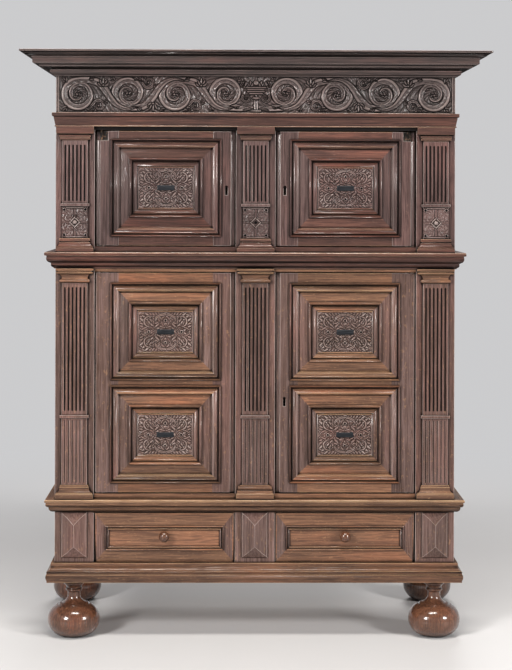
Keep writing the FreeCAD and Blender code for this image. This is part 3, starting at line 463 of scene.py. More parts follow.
FIGURE = OakFigure()
OLD_SURFACE = OldSurface()

# Upward part of a face's direction between full painted underside shade and none, and between no dust and
# full dust
LOOKS_DOWN = (-0.9, -0.5)
LOOKS_UP = (0.9, 0.99)
# Darkening by soiling and painted shade at which the wax starts to go, and at which none is left
COAT_LOST = (0.1, 0.8)
# Polish of the most open and of the closest grain
POLISH_RANGE = (-0.6, 0.9)
# Height of the figure, and how many rays look for a hollow
FIGURE_DEPTH = 0.25 * MM
HOLLOW_SAMPLES = 8


@dataclass(frozen=True)
class OakFinish:
    """One tone of oak with its wax.

    Args:
        name: The material's name.
        deep: Colour of the pores and dark bands.
        body: Colour of the wood between them.
        cool: Colour of the wood where its grain stands upright and takes the side light, a painted sheen.
        bright: Colour of the ray flecks.
        worn: Colour of rubbed arrises.
        dirt: Colour of the soiling and painted shade in the hollows and on faces that look down.
        rays: How strongly ray flecks show.
        wear: How strongly arrises are rubbed.
        rough: Roughness of the cleanest surface.
        specular: How strongly the bare wood under the wax shines.
        soffit: How dark the painted shade is on faces that look down.
        dust: How dull faces have gone that look up.
        coat: Weight of the wax or polish.
        coat_rough: Roughness of the wax or polish.
        hollow_reach: How near another surface darkens a hollow, in metres.
        bump: How strongly the figure stands up.
        pore_rough: How much rougher the most open grain is.
        dirt_rough: How much rougher the full soiling and painted shade are.
        dust_rough: How much rougher full dust is.
        pale: Colour of rubbed arrises where the grain stands upright, partly wear and partly painted sheen
            of the side light, or None for the same.
    """

    name: str
    deep: Colour
    body: Colour
    cool: Colour
    bright: Colour
    worn: Colour
    dirt: Colour
    rays: float = 0.3
    wear: float = 1.0
    rough: float = 0.36
    specular: float = 0.14
    soffit: float = 0.85
    dust: float = 0.85
    coat: float = 0.12
    coat_rough: float = 0.2
    hollow_reach: float = 0.012
    bump: float = 0.35
    pore_rough: float = 0.18
    dirt_rough: float = 0.5
    dust_rough: float = 0.3
    pale: Colour | None = None

    def material(self) -> Material:
        """Builds the material from the shared groups.

        Returns:
            The material.
        """
        made, graph, shader = start_material(self.name)
        upright = graph.stored("upright")
        figure = graph.add("Group", node_tree=FIGURE.group())
        graph.fill(figure, {"Grain": graph.stored("grain", "Vector"), "Tone": graph.stored("tone"),
                            "Upright": upright, "Deep": self.deep, "Body": self.body,
                            "Cool": self.cool, "Bright": self.bright, "Rays": self.rays})
        facing = graph.add("SeparateXYZ")
        graph.feed(facing.inputs[0], graph.add("NewGeometry").outputs["Normal"])
        # Painted shade on faces that look down, fed in with the hollows' darkening
        under = graph.range(facing.outputs["Z"], *LOOKS_DOWN, self.soffit, 0.0)
        dusty = graph.range(facing.outputs["Z"], *LOOKS_UP, 0.0, self.dust)
        # Occlusion by near surfaces marks the hollows for soiling and painted shade
        openness = graph.add("AmbientOcclusion", samples=HOLLOW_SAMPLES)
        openness.inputs["Distance"].default_value = self.hollow_reach
        age = graph.add("Group", node_tree=OLD_SURFACE.group())
        # The worn colour on upright grain carries painted sheen as well as wear
        graph.fill(age, {"Color": figure.outputs["Color"],
                         "Place": graph.add("TexCoord").outputs["Object"],
                         "Arris": graph.stored("arris"),
                         "Hollow": graph.math("MAXIMUM", under, graph.stored("hollow")),
                         "Openness": openness.outputs["AO"],
                         "Worn": graph.blend(upright, self.worn, self.pale or self.worn),
                         "Dirt": self.dirt, "Wear": self.wear})
        dirt_and_shade_mask = age.outputs["Soil and shade"]
        rough = graph.range(figure.outputs["Polish"], *POLISH_RANGE, self.rough + self.pore_rough,
                            self.rough)
        rough = graph.math("MULTIPLY_ADD", dirt_and_shade_mask, self.dirt_rough, rough)
        rough = graph.math("MULTIPLY_ADD", dusty, self.dust_rough, rough)
        normal = graph.bump(figure.outputs["Height"], self.bump, FIGURE_DEPTH)
        coat = graph.range(dirt_and_shade_mask, *COAT_LOST, self.coat, 0.0)
        coat = graph.math("MULTIPLY", coat, graph.math("SUBTRACT", 1.0, dusty))
        graph.fill(shader, {"Base Color": age.outputs["Color"], "Roughness": rough, "Normal": normal,
                            "Coat Normal": normal, "Coat Weight": coat,
                            "Coat Roughness": self.coat_rough, "Specular IOR Level": self.specular})
        return made


@dataclass(frozen=True)
class EbonyFinish:
    """Blue-black wood of the small bars, with paler streaks and arrises."""

    name: str = "Ebony"
    dark: Colour = shade(0.004, 0.0045, 0.006)
    light: Colour = shade(0.014, 0.016, 0.02)
    rough: float = 0.46
    streak_rough: float = 0.12
    specular: float = 0.2
    streaks: Waves = Waves(500.0, (1.0, 1.0, 0.05), 0.35, 0.7)

    def material(self) -> Material:
        """Builds the material with fine streaks along the bar.

        Returns:
            The material.
        """
        made, graph, shader = start_material(self.name)
        streaks = graph.marks(graph.stored("grain", "Vector"), self.streaks)
        worn = graph.math("MAXIMUM", streaks, graph.stored("arris"))
        rough = graph.range(streaks, 0.0, 1.0, self.rough, self.rough + self.streak_rough)
        graph.fill(shader, {"Base Color": graph.blend(worn, self.dark, self.light),
                            "Roughness": rough, "Specular IOR Level": self.specular})
        return made


@dataclass(frozen=True)
class IronFinish:
    """Old forged iron with rust, pits and rubbed edges.

    It is smoothest and roughest where the mottle has the two values of rough_range.
    """

    name: str = "Old iron"
    dark: Colour = shade(0.018, 0.016, 0.015)
    bare: Colour = shade(0.16, 0.15, 0.14)
    rust: Colour = shade(0.09, 0.045, 0.022)
    mottle: Waves = Waves(140.0, low=0.48, high=0.66, detail=6.0)
    metal: float = 0.85
    rust_metal: float = 0.15
    smooth: float = 0.42
    rough: float = 0.75
    rough_range: tuple[float, float] = (0.3, 0.7)
    pitting: float = 0.4
    pit_depth: float = 0.3 * MM

    def material(self) -> Material:
        """Builds the material with mottled rust and pitting.

        Returns:
            The material.
        """
        made, graph, shader = start_material(self.name)
        mottle = graph.noise(graph.add("TexCoord").outputs["Object"], self.mottle)
        rusty = graph.range(mottle, self.mottle.low, self.mottle.high)
        colour = graph.blend(rusty, self.dark, self.rust)
        colour = graph.blend(graph.stored("arris"), colour, self.bare)
        graph.fill(shader, {
            "Base Color": colour,
            "Metallic": graph.range(rusty, 0.0, 1.0, self.metal, self.rust_metal),
            "Roughness": graph.range(mottle, *self.rough_range, self.smooth, self.rough),
            "Normal": graph.bump(mottle, self.pitting, self.pit_depth)})
        return made


FINISHES = {
    "upper_oak": OakFinish("Dark red oak", shade(0.024, 0.0105, 0.0085), shade(0.105, 0.049, 0.036),
                           shade(0.105, 0.068, 0.064), shade(0.17, 0.1, 0.08), shade(0.32, 0.2, 0.13),
                           shade(0.0022, 0.0014, 0.0012), rays=0.2, coat=0.55, coat_rough=0.15,
                           pale=shade(0.27, 0.22, 0.205)),
    "frieze_oak": OakFinish("Dark grey oak", shade(0.026, 0.018, 0.016), shade(0.1, 0.067, 0.06),
                            shade(0.1, 0.076, 0.073), shade(0.15, 0.1, 0.09), shade(0.3, 0.235, 0.22),
                            shade(0.0024, 0.002, 0.002), rays=0.1, coat=0.85, coat_rough=0.13),
    "lower_oak": OakFinish("Golden brown oak", shade(0.05, 0.024, 0.015), shade(0.19, 0.1, 0.057),
                           shade(0.155, 0.1, 0.09), shade(0.34, 0.19, 0.1), shade(0.48, 0.32, 0.18),
                           shade(0.003, 0.0018, 0.0014), rays=0.35, coat=0.45, coat_rough=0.17,
                           pale=shade(0.36, 0.29, 0.265)),
    "inner_oak": OakFinish("Dry inner oak", shade(0.1, 0.058, 0.033), shade(0.24, 0.145, 0.085),
                           shade(0.22, 0.145, 0.095), shade(0.34, 0.22, 0.135), shade(0.38, 0.27, 0.17),
                           shade(0.03, 0.02, 0.015), rays=0.35, wear=0.5, rough=0.62, soffit=0.0,
                           coat=0.0),
    "turned_oak": OakFinish("Polished turned oak", shade(0.03, 0.0125, 0.007), shade(0.14, 0.056, 0.028),
                            shade(0.13, 0.058, 0.034), shade(0.26, 0.13, 0.06), shade(0.34, 0.18, 0.1),
                            shade(0.0025, 0.0015, 0.0012), rays=0.35, rough=0.2, soffit=0.5, coat=1.0,
                            coat_rough=0.06, bump=0.08),
    "ebony": EbonyFinish(),
    "iron": IronFinish(),
}


# Lightest tone that the boards of the darkest pieces can have, of 1
TOP_TONES = {"architrave_mould": 0.12, "lower_pilaster_shafts": 0.6, "prism_blocks": 0.4}

# Width of the eased arris in metres, by the end of the node's name
EASES: tuple[tuple[tuple[str, ...], float], ...] = (
    (("front",), 0.7 * MM),
    (("mouldings", "caps"), 0.55 * MM),
    (("mould", "crown"), 0.8 * MM),
    (("shafts",), 1.1 * MM),
    (("ironwork", "bolt", "bars", "button", "prism_blocks"), 0.5 * MM),
)
COMMON_EASE = 1.5 * MM
# Least angle that stays a sharp edge on a turned piece
TURNED_CREASE_DEGREES = 40.0

# Distances within which two places on a mesh are the same, are welded or lie against each other
SAME_PLACE = 0.01 * MM
WELD = 0.005 * MM
NEAR = 0.1 * MM
# Least part of an edge's length along one axis that makes it straight
STRAIGHT = 0.99
# Angle up to which two faces are one flat face
FLAT_DEGREES = 0.3
# How far a board's grain can lie from the middle of the log, in metres
LOG_REACH = 5.0
# Sideways part of a face's direction up to which it counts as flat
FLAT_SLOPE = 0.02


def ease_of(node: str) -> float:
    """Finds how far the arrises of a node are eased.

    Args:
        node: The node's name.

    Returns:
        The width of the eased arris in metres.
    """
    for endings, ease in EASES:
        if node.endswith(endings):
            return ease
    return COMMON_EASE


def solids_in_order(bm: BMesh) -> list[list[BMFace]]:
    """Groups loose triangles into the closed solids that follow one another.

    Args:
        bm: The loose triangles of one node.

    Returns:
        The faces of each solid.
    """
    groups: list[list[BMFace]] = []
    current: list[BMFace] = []
    unmatched: Counter = Counter()
    bm.faces.ensure_lookup_table()
    for face in bm.faces:
        current.append(face)
        corners = [tuple(round(part / SAME_PLACE) for part in vert.co) for vert in face.verts]
        for start, end in zip(corners, corners[1:] + corners[:1]):
            if unmatched[(end, start)] > 0:
                unmatched[(end, start)] -= 1
                if not unmatched[(end, start)]:
                    del unmatched[(end, start)]
            elif start != end:
                unmatched[(start, end)] += 1
        if not +unmatched:
            groups.append(current)
            current = []
            unmatched = Counter()
    if current:
        groups.append(current)
    return groups


def islands(bm: BMesh) -> list[list[int]]:
    """Lists the connected pieces of a mesh.

    Args:
        bm: The mesh.

    Returns:
        The vertices of each piece.
    """
    bm.verts.index_update()
    seen: set[int] = set()
    found: list[list[int]] = []
    for seed in bm.verts:
        if seed.index in seen:
            continue
        seen.add(seed.index)
        stack = [seed]
        members: list[int] = []
        while stack:
            vert = stack.pop()
            members.append(vert.index)
            for edge in vert.link_edges:
                other = edge.other_vert(vert)
                if other.index not in seen:
                    seen.add(other.index)
                    stack.append(other)
        found.append(members)
    return found


def set_values(mesh: Mesh, name: str, kind: str, values: np.ndarray, domain: str = "POINT") -> None:
    """Stores values with a mesh.

    Args:
        mesh: The mesh.
        name: The name that they are stored under.
        kind: Their data type.
        values: One value for each vertex or corner.
        domain: Whether the values belong to vertices or to corners.
    """
    layer = mesh.attributes.get(name) or mesh.attributes.new(name, kind, domain)
    layer.data.foreach_set("vector" if kind == "FLOAT_VECTOR" else "value", values.ravel())


@dataclass
class Grain:
    """The grain, tone and uprightness of a mesh's boards, one for each vertex or corner.

    The random draws start from the seed.
    """

    count: int
    seed: str

    def __post_init__(self) -> None:
        """Starts with values of nought."""
        self.draw = random.Random(self.seed)
        self.places = np.zeros((self.count, 3))
        self.tones = np.zeros(self.count)
        self.upright = np.zeros(self.count)

    def drawn(self, top_tone: float = 1.0) -> tuple[np.ndarray, float]:
        """Draws a board's place in the log and its tone.

        Args:
            top_tone: Lightest tone that the board can have, of 1.

        Returns:
            The shift of the board's grain, and its tone.
        """
        shift = np.array([self.draw.uniform(-LOG_REACH, LOG_REACH) for _ in range(3)])
        return shift, self.draw.random() * top_tone

    def lay(self, members: list[int] | int, places: np.ndarray, axis: int, shift: np.ndarray,
            tone: float) -> None:
        """Lays the grain of some of the vertices or corners.

        Args:
            members: The vertices or corners.
            places: Where they are.
            axis: The axis that the grain runs along.
            shift: The shift of the grain.
            tone: The board's tone.
        """
        order = [(axis + 1) % 3, (axis + 2) % 3, axis]
        self.places[members] = places[..., order] + shift
        self.tones[members] = tone
        self.upright[members] = float(axis == GrainAxis.Z.value)

    def store(self, mesh: Mesh, domain: str = "POINT") -> None:
        """Stores the values with the mesh.

        Args:
            mesh: The mesh.
            domain: Whether the values belong to vertices or to corners.
        """
        set_values(mesh, "grain", "FLOAT_VECTOR", self.places, domain)
        set_values(mesh, "tone", "FLOAT", self.tones, domain)
        set_values(mesh, "upright", "FLOAT", self.upright, domain)


def places_of(mesh: Mesh) -> np.ndarray:
    """Lists where the vertices of a mesh are.

    Args:
        mesh: The mesh.

    Returns:
        The places, one in each row.
    """
    places = np.empty(len(mesh.vertices) * 3)
    mesh.vertices.foreach_get("co", places)
    return places.reshape(-1, 3)


def lay_grain(mesh: Mesh, groups: list[list[int]], seed: str, forced: GrainAxis | None = None,
              top_tone: float = 1.0) -> None:
    """Gives each board its own grain direction, place in the log and tone.

    Args:
        mesh: The mesh that takes the values.
        groups: The vertices of each board.
        seed: The name that the random draws start from.
        forced: The grain's direction, or None for the board's longest side.
        top_tone: Lightest tone that a board can have, of 1.
    """
    grain = Grain(len(mesh.vertices), seed)
    places = places_of(mesh)
    for members in groups:
        board = places[members]
        axis = forced.value if forced else int(np.argmax(board.max(0) - board.min(0)))
        grain.lay(members, board, axis, *grain.drawn(top_tone))
    grain.store(mesh)


def lay_mitred_grain(mesh: Mesh, groups: list[list[int]], seed: str) -> None:
    """Gives each side of a mitred border grain that runs along it, and the rest its board's grain.

    Args:
        mesh: The mesh that takes the values.
        groups: The vertices of each board.
        seed: The name that the random draws start from.
    """
    grain = Grain(len(mesh.loops), seed)
    places = places_of(mesh)
    # Boards and sides are sorted, since a bevel doesn't make its faces in the same order each run
    boxes = [np.concatenate([places[members].min(0), places[members].max(0)]) for members in groups]
    marks = [tuple(np.round(box / SAME_PLACE).astype(int).tolist()) for box in boxes]
    ranks = {mark: rank for rank, mark in enumerate(sorted(marks))}
    board_of = {index: ranks[mark] for mark, members in zip(marks, groups) for index in members}
    longest = {ranks[mark]: int(np.argmax(box[3:] - box[:3])) for mark, box in zip(marks, boxes)}
    keys: list[tuple[int, bool, int, bool]] = []
    for polygon in mesh.polygons:
        normal = polygon.normal
        slopes = max(abs(normal.x), abs(normal.z)) > FLAT_SLOPE
        stands = slopes and abs(normal.x) > abs(normal.z)
        board = board_of[polygon.vertices[0]]
        axis = longest[board]
        if slopes:
            axis = GrainAxis.Z.value if stands else GrainAxis.X.value
        keys.append((board, slopes, axis, slopes and bool(normal.x > 0 if stands else normal.z > 0)))
    drawn = {key: grain.drawn() for key in sorted(set(keys))}
    for polygon, key in zip(mesh.polygons, keys):
        for loop in polygon.loop_indices:
            grain.lay(loop, places[mesh.loops[loop].vertex_index], key[2], *drawn[key])
    grain.store(mesh, "CORNER")


def finish_piece(piece: Object, body: str, slot: str, materials: dict[str, Material],
                 replaced: tuple[str, ...] = ()) -> None:
    """Gives a piece its material, its body and its slot, and hides what it stands for.

    Args:
        piece: The piece.
        body: The body that it moves with.
        slot: The record's material slot.
        materials: The materials by slot.
        replaced: The nodes that it stands for.
    """
    piece.data.materials.clear()
    piece.data.materials.append(materials[slot])
    if replaced:
        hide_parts(*replaced)
    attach(piece, body)


def finished(bm: BMesh, name: str, crease_degrees: float) -> Object:
    """Puts a mesh into the scene with smooth faces and sharp creases.

    Args:
        bm: The mesh, which is used up.
        name: The name of the object and its mesh.
        crease_degrees: Least angle between faces that keeps their edge sharp.

    Returns:
        The new object.
    """
    for face in bm.faces:
        face.smooth = True
    mesh = bpy.data.meshes.new(name)
    bm.to_mesh(mesh)
    bm.free()
    mesh.set_sharp_from_angle(angle=math.radians(crease_degrees))
    made = bpy.data.objects.new(name, mesh)
    bpy.context.scene.collection.objects.link(made)
    return made


@dataclass
class Recess:
    """A field that is sunk into the front of a board, in metres, by two corners of its outline."""

    low: Vector
    high: Vector
    depth: float

    def sink(self, bm: BMesh) -> None:
        """Cuts the field's outline into the front face and pushes it back.

        Args:
            bm: The board.
        """
        for place, normal in ((self.low, (1, 0, 0)), (self.low, (0, 0, 1)),
                              (self.high, (1, 0, 0)), (self.high, (0, 0, 1))):
            fronts = [face for face in bm.faces if self._is_front(face)]
            geom = list(dict.fromkeys(edge for face in fronts for edge in face.edges))
            geom += list(dict.fromkeys(vert for face in fronts for vert in face.verts)) + fronts
            bmesh.ops.bisect_plane(bm, geom=geom, plane_co=place, plane_no=normal, dist=SAME_PLACE)
        inside = [face for face in bm.faces if self._is_front(face) and self._holds(face)]
        made = bmesh.ops.extrude_face_region(bm, geom=inside)
        moved = [part for part in made["geom"] if isinstance(part, BMVert)]
        bmesh.ops.translate(bm, verts=moved, vec=(0, self.depth, 0))
        bmesh.ops.delete(bm, geom=inside, context="FACES")

    def _is_front(self, face: BMFace) -> bool:
        """Whether a face lies in the board's front plane."""
        return face.normal.y < -0.9 and abs(face.calc_center_median().y - self.low.y) < NEAR

    def _holds(self, face: BMFace) -> bool:
        """Whether a face lies within the field's outline."""
        centre = face.calc_center_median()
        return self.low.x < centre.x < self.high.x and self.low.z < centre.z < self.high.z


@dataclass
class Joinery:
    """A node of the frame with eased arrises, worked up from its solids.

    Args:
        node: The node's name.
        body: The body that it moves with.
        slot: The record's material slot.
        ease: Width of the eased arris in metres, or 0 for a turned piece.
        sharp_degrees: Least angle of an edge that is eased.
        least_length: Least length of an edge that is eased, in metres.
        recess: A field that is sunk into its front.
        joint_ease: Width of the eased arris where two boards meet flush, in metres.
        flutes: Depths at which flutes start and end, in metres.
        flute_dirt: Share of a flute's depth at which its soiling and painted shade are full.
        straight_only: Whether slanting corners, such as mitres, are left as they are.
        grime_level: Height under which its face is painted black as a shadow, in metres.
        grime: How dark the soiling and painted shade are where they are full.
        top_tone: Lightest tone that its boards can have, of 1.
        crease_degrees: Least angle between faces that keeps its edge sharp.
    """

    node: str
    body: str
    slot: str
    ease: float = COMMON_EASE
    sharp_degrees: float = 25.0
    least_length: float = 6.0 * MM
    recess: Recess | None = None
    joint_ease: float = 0.3 * MM
    flutes: tuple[float, float] | None = None
    flute_dirt: float = 0.55
    straight_only: bool = False
    grime_level: float | None = None
    grime: float = 0.96
    top_tone: float = 1.0
    crease_degrees: float = 50.0

    def build(self, source: Object, materials: dict[str, Material]) -> Object:
        """Makes the finished copy that stands for the node.

        Args:
            source: The node's own object.
            materials: The materials by slot.

        Returns:
            The new piece.
        """
        bm = self._welded(source)
        if self.recess:
            self.recess.sink(bm)
        if self.grime_level:
            bmesh.ops.bisect_plane(bm, geom=list(bm.verts) + list(bm.edges) + list(bm.faces),
                                   plane_co=(0, 0, self.grime_level), plane_no=(0, 0, 1),
                                   dist=SAME_PLACE)
        bm.faces.layers.float.new("arris")
        if self.ease:
            joints, edges = self._sorted_arrises(bm)
            self._plane(bm, edges, self.ease, 2, 1.0)
            self._plane(bm, [edge for edge in joints if edge.is_valid], self.joint_ease, 1, 0.0)
        boards = islands(bm)
        piece = finished(bm, "dressed_" + self.node, self.crease_degrees)
        if self.straight_only:
            lay_mitred_grain(piece.data, boards, self.node)
        else:
            lay_grain(piece.data, boards, self.node, None, self.top_tone)
        if self.flutes or self.grime_level:
            self._darken(piece.data)
        if self.ease:
            weights = piece.modifiers.new("Flat faces stay flat", "WEIGHTED_NORMAL")
            weights.keep_sharp = True
        finish_piece(piece, self.body, self.slot, materials, (self.node,))
        LOG.info("dressed %s: %d boards, %d faces", self.node, len(boards), len(piece.data.polygons))
        return piece

    def _welded(self, source: Object) -> BMesh:
        """Welds the triangles of each solid, and joins flat ones to whole faces.

        Args:
            source: The node's own object.

        Returns:
            The node's solids.
        """
        bm = bmesh.new()
        bm.from_mesh(source.data)
        # Kept in the order of the faces, so that each run gives the same mesh
        groups = [list(dict.fromkeys(vert for face in solid for vert in face.verts))
                  for solid in solids_in_order(bm)]
        for verts in groups:
            bmesh.ops.remove_doubles(bm, verts=verts, dist=WELD)
        if self.ease:
            bmesh.ops.dissolve_limit(bm, angle_limit=math.radians(FLAT_DEGREES), verts=bm.verts,
                                     edges=bm.edges, delimit=set())
        return bm

    @staticmethod
    def _plane(bm: BMesh, edges: list[BMEdge], width: float, segments: int, wear: float) -> None:
        """Eases arrises.

        Args:
            bm: The boards.
            edges: The arrises.
            width: Width that is taken off, in metres.
            segments: How many faces round the arris has.
            wear: How worn the new faces are.
        """
        made = bmesh.ops.bevel(bm, geom=edges, offset=width, offset_type="OFFSET", affect="EDGES",
                               segments=segments, profile=0.5, material=-1, clamp_overlap=False)
        arris = bm.faces.layers.float["arris"]
        for face in made["faces"]:
            face[arris] = wear

    def _darken(self, mesh: Mesh) -> None:
        """Marks painted shade and soiling in the flutes' hollows, or a painted shadow over the foot of a
        board.

        Args:
            mesh: The mesh of the boards.
        """
        places = places_of(mesh)
        if self.flutes:
            # Painted shade and soiling in the flutes, full at a share of their depth
            front, floor = self.flutes
            share = (places[:, 1] - front) / ((floor - front) * self.flute_dirt)
            share[places[:, 1] > floor + NEAR] = 0.0
        else:
            # Painted shadow: the face under this height is marked full
            share = (places[:, 2] < self.grime_level + NEAR).astype(float)
        set_values(mesh, "hollow", "FLOAT", np.clip(share, 0.0, 1.0) * self.grime)

    def _sorted_arrises(self, bm: BMesh) -> tuple[list[BMEdge], list[BMEdge]]:
        """Sorts the outward corners of the boards.

        Args:
            bm: The boards.

        Returns:
            The edges where two boards meet flush, and the free edges.
        """
        owner: dict[int, int] = {}
        for number, members in enumerate(islands(bm)):
            owner.update((index, number) for index in members)
        bm.faces.index_update()
        bm.faces.ensure_lookup_table()
        tree = BVHTree.FromBMesh(bm)
        joints, free = [], []
        for edge in bm.edges:
            if not self._is_arris(edge):
                continue
            middle = (edge.verts[0].co + edge.verts[1].co) / 2
            own = owner[edge.verts[0].index]
            near = tree.find_nearest_range(middle, NEAR)
            meets = any(owner[bm.faces[hit[2]].verts[0].index] != own for hit in near)
            (joints if meets else free).append(edge)
        return joints, free

    def _is_arris(self, edge: BMEdge) -> bool:
        """Whether an edge is an outward corner that the plane or the hand has eased.

        Args:
            edge: The edge.

        Returns:
            Whether it is eased.
        """
        if len(edge.link_faces) != 2 or edge.calc_length() < self.least_length:
            return False
        run = edge.verts[1].co - edge.verts[0].co
        if self.straight_only and max(abs(part) for part in run) < STRAIGHT * run.length:
            return False
        return edge.calc_face_angle_signed(0.0) > math.radians(self.sharp_degrees)


# The four quarters of a field, by which its upper right one is turned over
QUARTERS = ((1, 1), (1, -1), (-1, 1), (-1, -1))
# How finely a stroke is stepped
LINE_POINTS = 9
KNOT_POINTS = 6
TURN_STEP_DEGREES = 10
# Length of a stroke that is only a dot, and the least length of any step, in millimetres
DOT_LENGTH = 0.05
TINY = 1e-6
# Shape of the leaves of a fan
OUTER_LEAF_LOSS = 0.25
FAN_TAPER = (0.35, 0.1)
# Exponent that makes the side of a leaf or a channel fuller
FULLNESS = 0.6
# Half width and depth of the groove along a channel and a leaf, as shares of the stroke
CHANNEL_VEIN = (0.36, 0.6)
LEAF_VEIN = (0.18, 0.35)
# Middle and half width of the ridges across a scroll's stem: bold roll, fillet and leafy fringe
STEM_ROLL = (0.52, 0.48)
STEM_FILLET = (-0.12, 0.2)
STEM_FRINGE = (-0.6, 0.38)
# Heights across the stem, as shares of the roll's
STEM_BODY = 0.25
FILLET_HEIGHT = 0.55
FRINGE_LOW = 0.42
FRINGE_SWELL = 0.25
FRINGE_SLANT = 0.4
# Share of a flat disc's radius that slopes down
FLAT_SLOPE_SHARE = 0.25
# Least half width that a stroke is shaped for, in millimetres
LEAST_HALF_WIDTH = 0.2


@dataclass
class Stroke:
    """One stroke of the carver, in millimetres.

    Args:
        points: The places that the stroke runs through.
        widths: Half the width at each place.
        height: Height of the crest over the ground.
        cut: Shape across the width.
        side: 1 where the bold edge lies to the left of the run, -1 where it lies to the right.
    """

    points: np.ndarray
    widths: np.ndarray
    height: float
    cut: Cut = Cut.ROUND
    side: float = 1.0

    def moved(self, across: float, up: float, shift: Point = (0.0, 0.0)) -> Stroke:
        """Copies the stroke.

        Args:
            across: -1 where the copy is turned over from left to right.
            up: -1 where the copy is turned over from top to bottom.
            shift: How far the copy is moved.

        Returns:
            The copy.
        """
        points = self.points * np.array([across, up]) + np.array(shift)
        return Stroke(points, self.widths, self.height, self.cut, self.side * across * up)


def line(start: Point, end: Point, width: float, height: float, cut: Cut = Cut.ROUND,
         taper: tuple[float, float] = (1.0, 1.0), bow: float = 0.0) -> Stroke:
    """Straight or bowed stroke.

    Args:
        start: Where it starts.
        end: Where it ends.
        width: Greatest half width.
        height: Height of its crest.
        cut: Shape across the width.
        taper: Share of the width that is left at each end.
        bow: How far its middle lies to the left of the straight line.

    Returns:
        The stroke.
    """
    along = np.linspace(0.0, 1.0, LINE_POINTS)
    ends = np.array([start, end], float)
    run = ends[1] - ends[0]
    left = np.array([-run[1], run[0]]) / max(np.hypot(*run), TINY)
    swell = np.sin(np.pi * along)
    points = ends[0] + np.outer(along, run) + np.outer(swell * bow, left)
    base = taper[0] + (taper[1] - taper[0]) * along
    widths = width * (base + (1.0 - base) * swell)
    return Stroke(points, widths, height, cut)


def through(places: tuple[Point, ...], widths: tuple[float, ...], height: float) -> Stroke:
    """Smooth channelled stroke through places.

    Args:
        places: The places.
        widths: Half widths, spread evenly along the stroke.
        height: Height of its crest.

    Returns:
        The stroke.
    """
    knots = np.array(places, float)
    padded = np.vstack([2 * knots[0] - knots[1], knots, 2 * knots[-1] - knots[-2]])
    points = []
    for k in range(1, len(padded) - 2):
        p0, p1, p2, p3 = padded[k - 1:k + 3]
        for t in np.linspace(0.0, 1.0, KNOT_POINTS + 1)[:-1]:
            points.append(0.5 * (2 * p1 + (p2 - p0) * t + (2 * p0 - 5 * p1 + 4 * p2 - p3) * t ** 2
                                 + (3 * p1 - p0 - 3 * p2 + p3) * t ** 3))
    points.append(padded[-2])
    spread = np.interp(np.linspace(0.0, 1.0, len(points)), np.linspace(0.0, 1.0, len(widths)), widths)
    return Stroke(np.array(points), spread, height, Cut.CHANNEL)


def spiral(centre: Point, start_degrees: float, sweep_degrees: float, radii: tuple[float, ...],
           widths: tuple[float, ...], height: float, cut: Cut = Cut.CHANNEL,
           lead: list[Point] | None = None) -> Stroke:
    """Spiral stroke about a centre, its bold edge on the outside.

    Args:
        centre: The spiral's centre.
        start_degrees: Direction from the centre to its start.
        sweep_degrees: How far it turns, positive when it turns left.
        radii: Radii, spread evenly along the sweep.
        widths: Half widths, spread evenly along the sweep.
        height: Height of its crest.
        cut: Shape across the width.
        lead: Points that come before the spiral.

    Returns:
        The stroke.
    """
    steps = max(8, int(abs(sweep_degrees) / TURN_STEP_DEGREES))
    along = np.linspace(0.0, 1.0, steps)
    angle = np.radians(start_degrees + sweep_degrees * along)
    radius = np.interp(along, np.linspace(0.0, 1.0, len(radii)), radii)
    points = np.stack([centre[0] + radius * np.cos(angle), centre[1] + radius * np.sin(angle)], 1)
    width = np.interp(along, np.linspace(0.0, 1.0, len(widths)), widths)
    if lead:
        points = np.vstack([np.array(lead, float), points])
        width = np.concatenate([np.full(len(lead), widths[0]), width])
    return Stroke(points, width, height, cut, -math.copysign(1.0, sweep_degrees))


def fan(root: Point, heading_degrees: float, spread_degrees: float, count: int, length: float,
        width: float, height: float, bow: float = 0.0) -> list[Stroke]:
    """Leaves that spread from one root, the middle one longest.

    Args:
        root: Where they start.
        heading_degrees: Direction of the middle leaf.
        spread_degrees: Angle between the middle leaf and an outer one.
        count: How many leaves there are.
        length: Length of the middle leaf.
        width: Greatest half width of a leaf.
        height: Height of the leaves.
        bow: How far an outer leaf is bowed.

    Returns:
        The leaves.
    """
    leaves = []
    for i in range(count):
        side = (i - (count - 1) / 2) / max((count - 1) / 2, 0.5)
        angle = math.radians(heading_degrees + side * spread_degrees)
        reach = length * (1.0 - OUTER_LEAF_LOSS * abs(side))
        end = (root[0] + reach * math.cos(angle), root[1] + reach * math.sin(angle))
        leaves.append(line(root, end, width, height, Cut.LEAF, FAN_TAPER, bow * side))
    return leaves


def dot(centre: Point, radius: float, height: float, cut: Cut = Cut.ROUND) -> Stroke:
    """Round boss, or a drilled hole where the cut is a pit.

    Args:
        centre: Its centre.
        radius: Its radius.
        height: Height of its crest, or of the hole's floor.
        cut: Shape across the width.

    Returns:
        The stroke, which hardly moves.
    """
    points = np.array([centre, (centre[0] + DOT_LENGTH, centre[1])], float)
    return Stroke(points, np.array([radius, radius]), height, cut)


def ridge(share: np.ndarray, middle: float, width: float) -> np.ndarray:
    """Rounded ridge that runs along a stroke.

    Args:
        share: Distance from the stroke's middle as a share of its half width.
        middle: Where the ridge's crest lies.
        width: Half the ridge's width.

    Returns:
        The height as a share of the crest.
    """
    return np.sqrt(np.clip(1.0 - ((share - middle) / width) ** 2, 0.0, 1.0))


def vein(share: np.ndarray, width: float, depth: float) -> np.ndarray:
    """Groove along the middle of a stroke.

    Args:
        share: Distance from the stroke's middle as a share of its half width.
        width: Half the groove's width.
        depth: Share of the height that it takes away.

    Returns:
        What the height is multiplied by.
    """
    return 1.0 - depth * np.exp(-(share / width) ** 2)


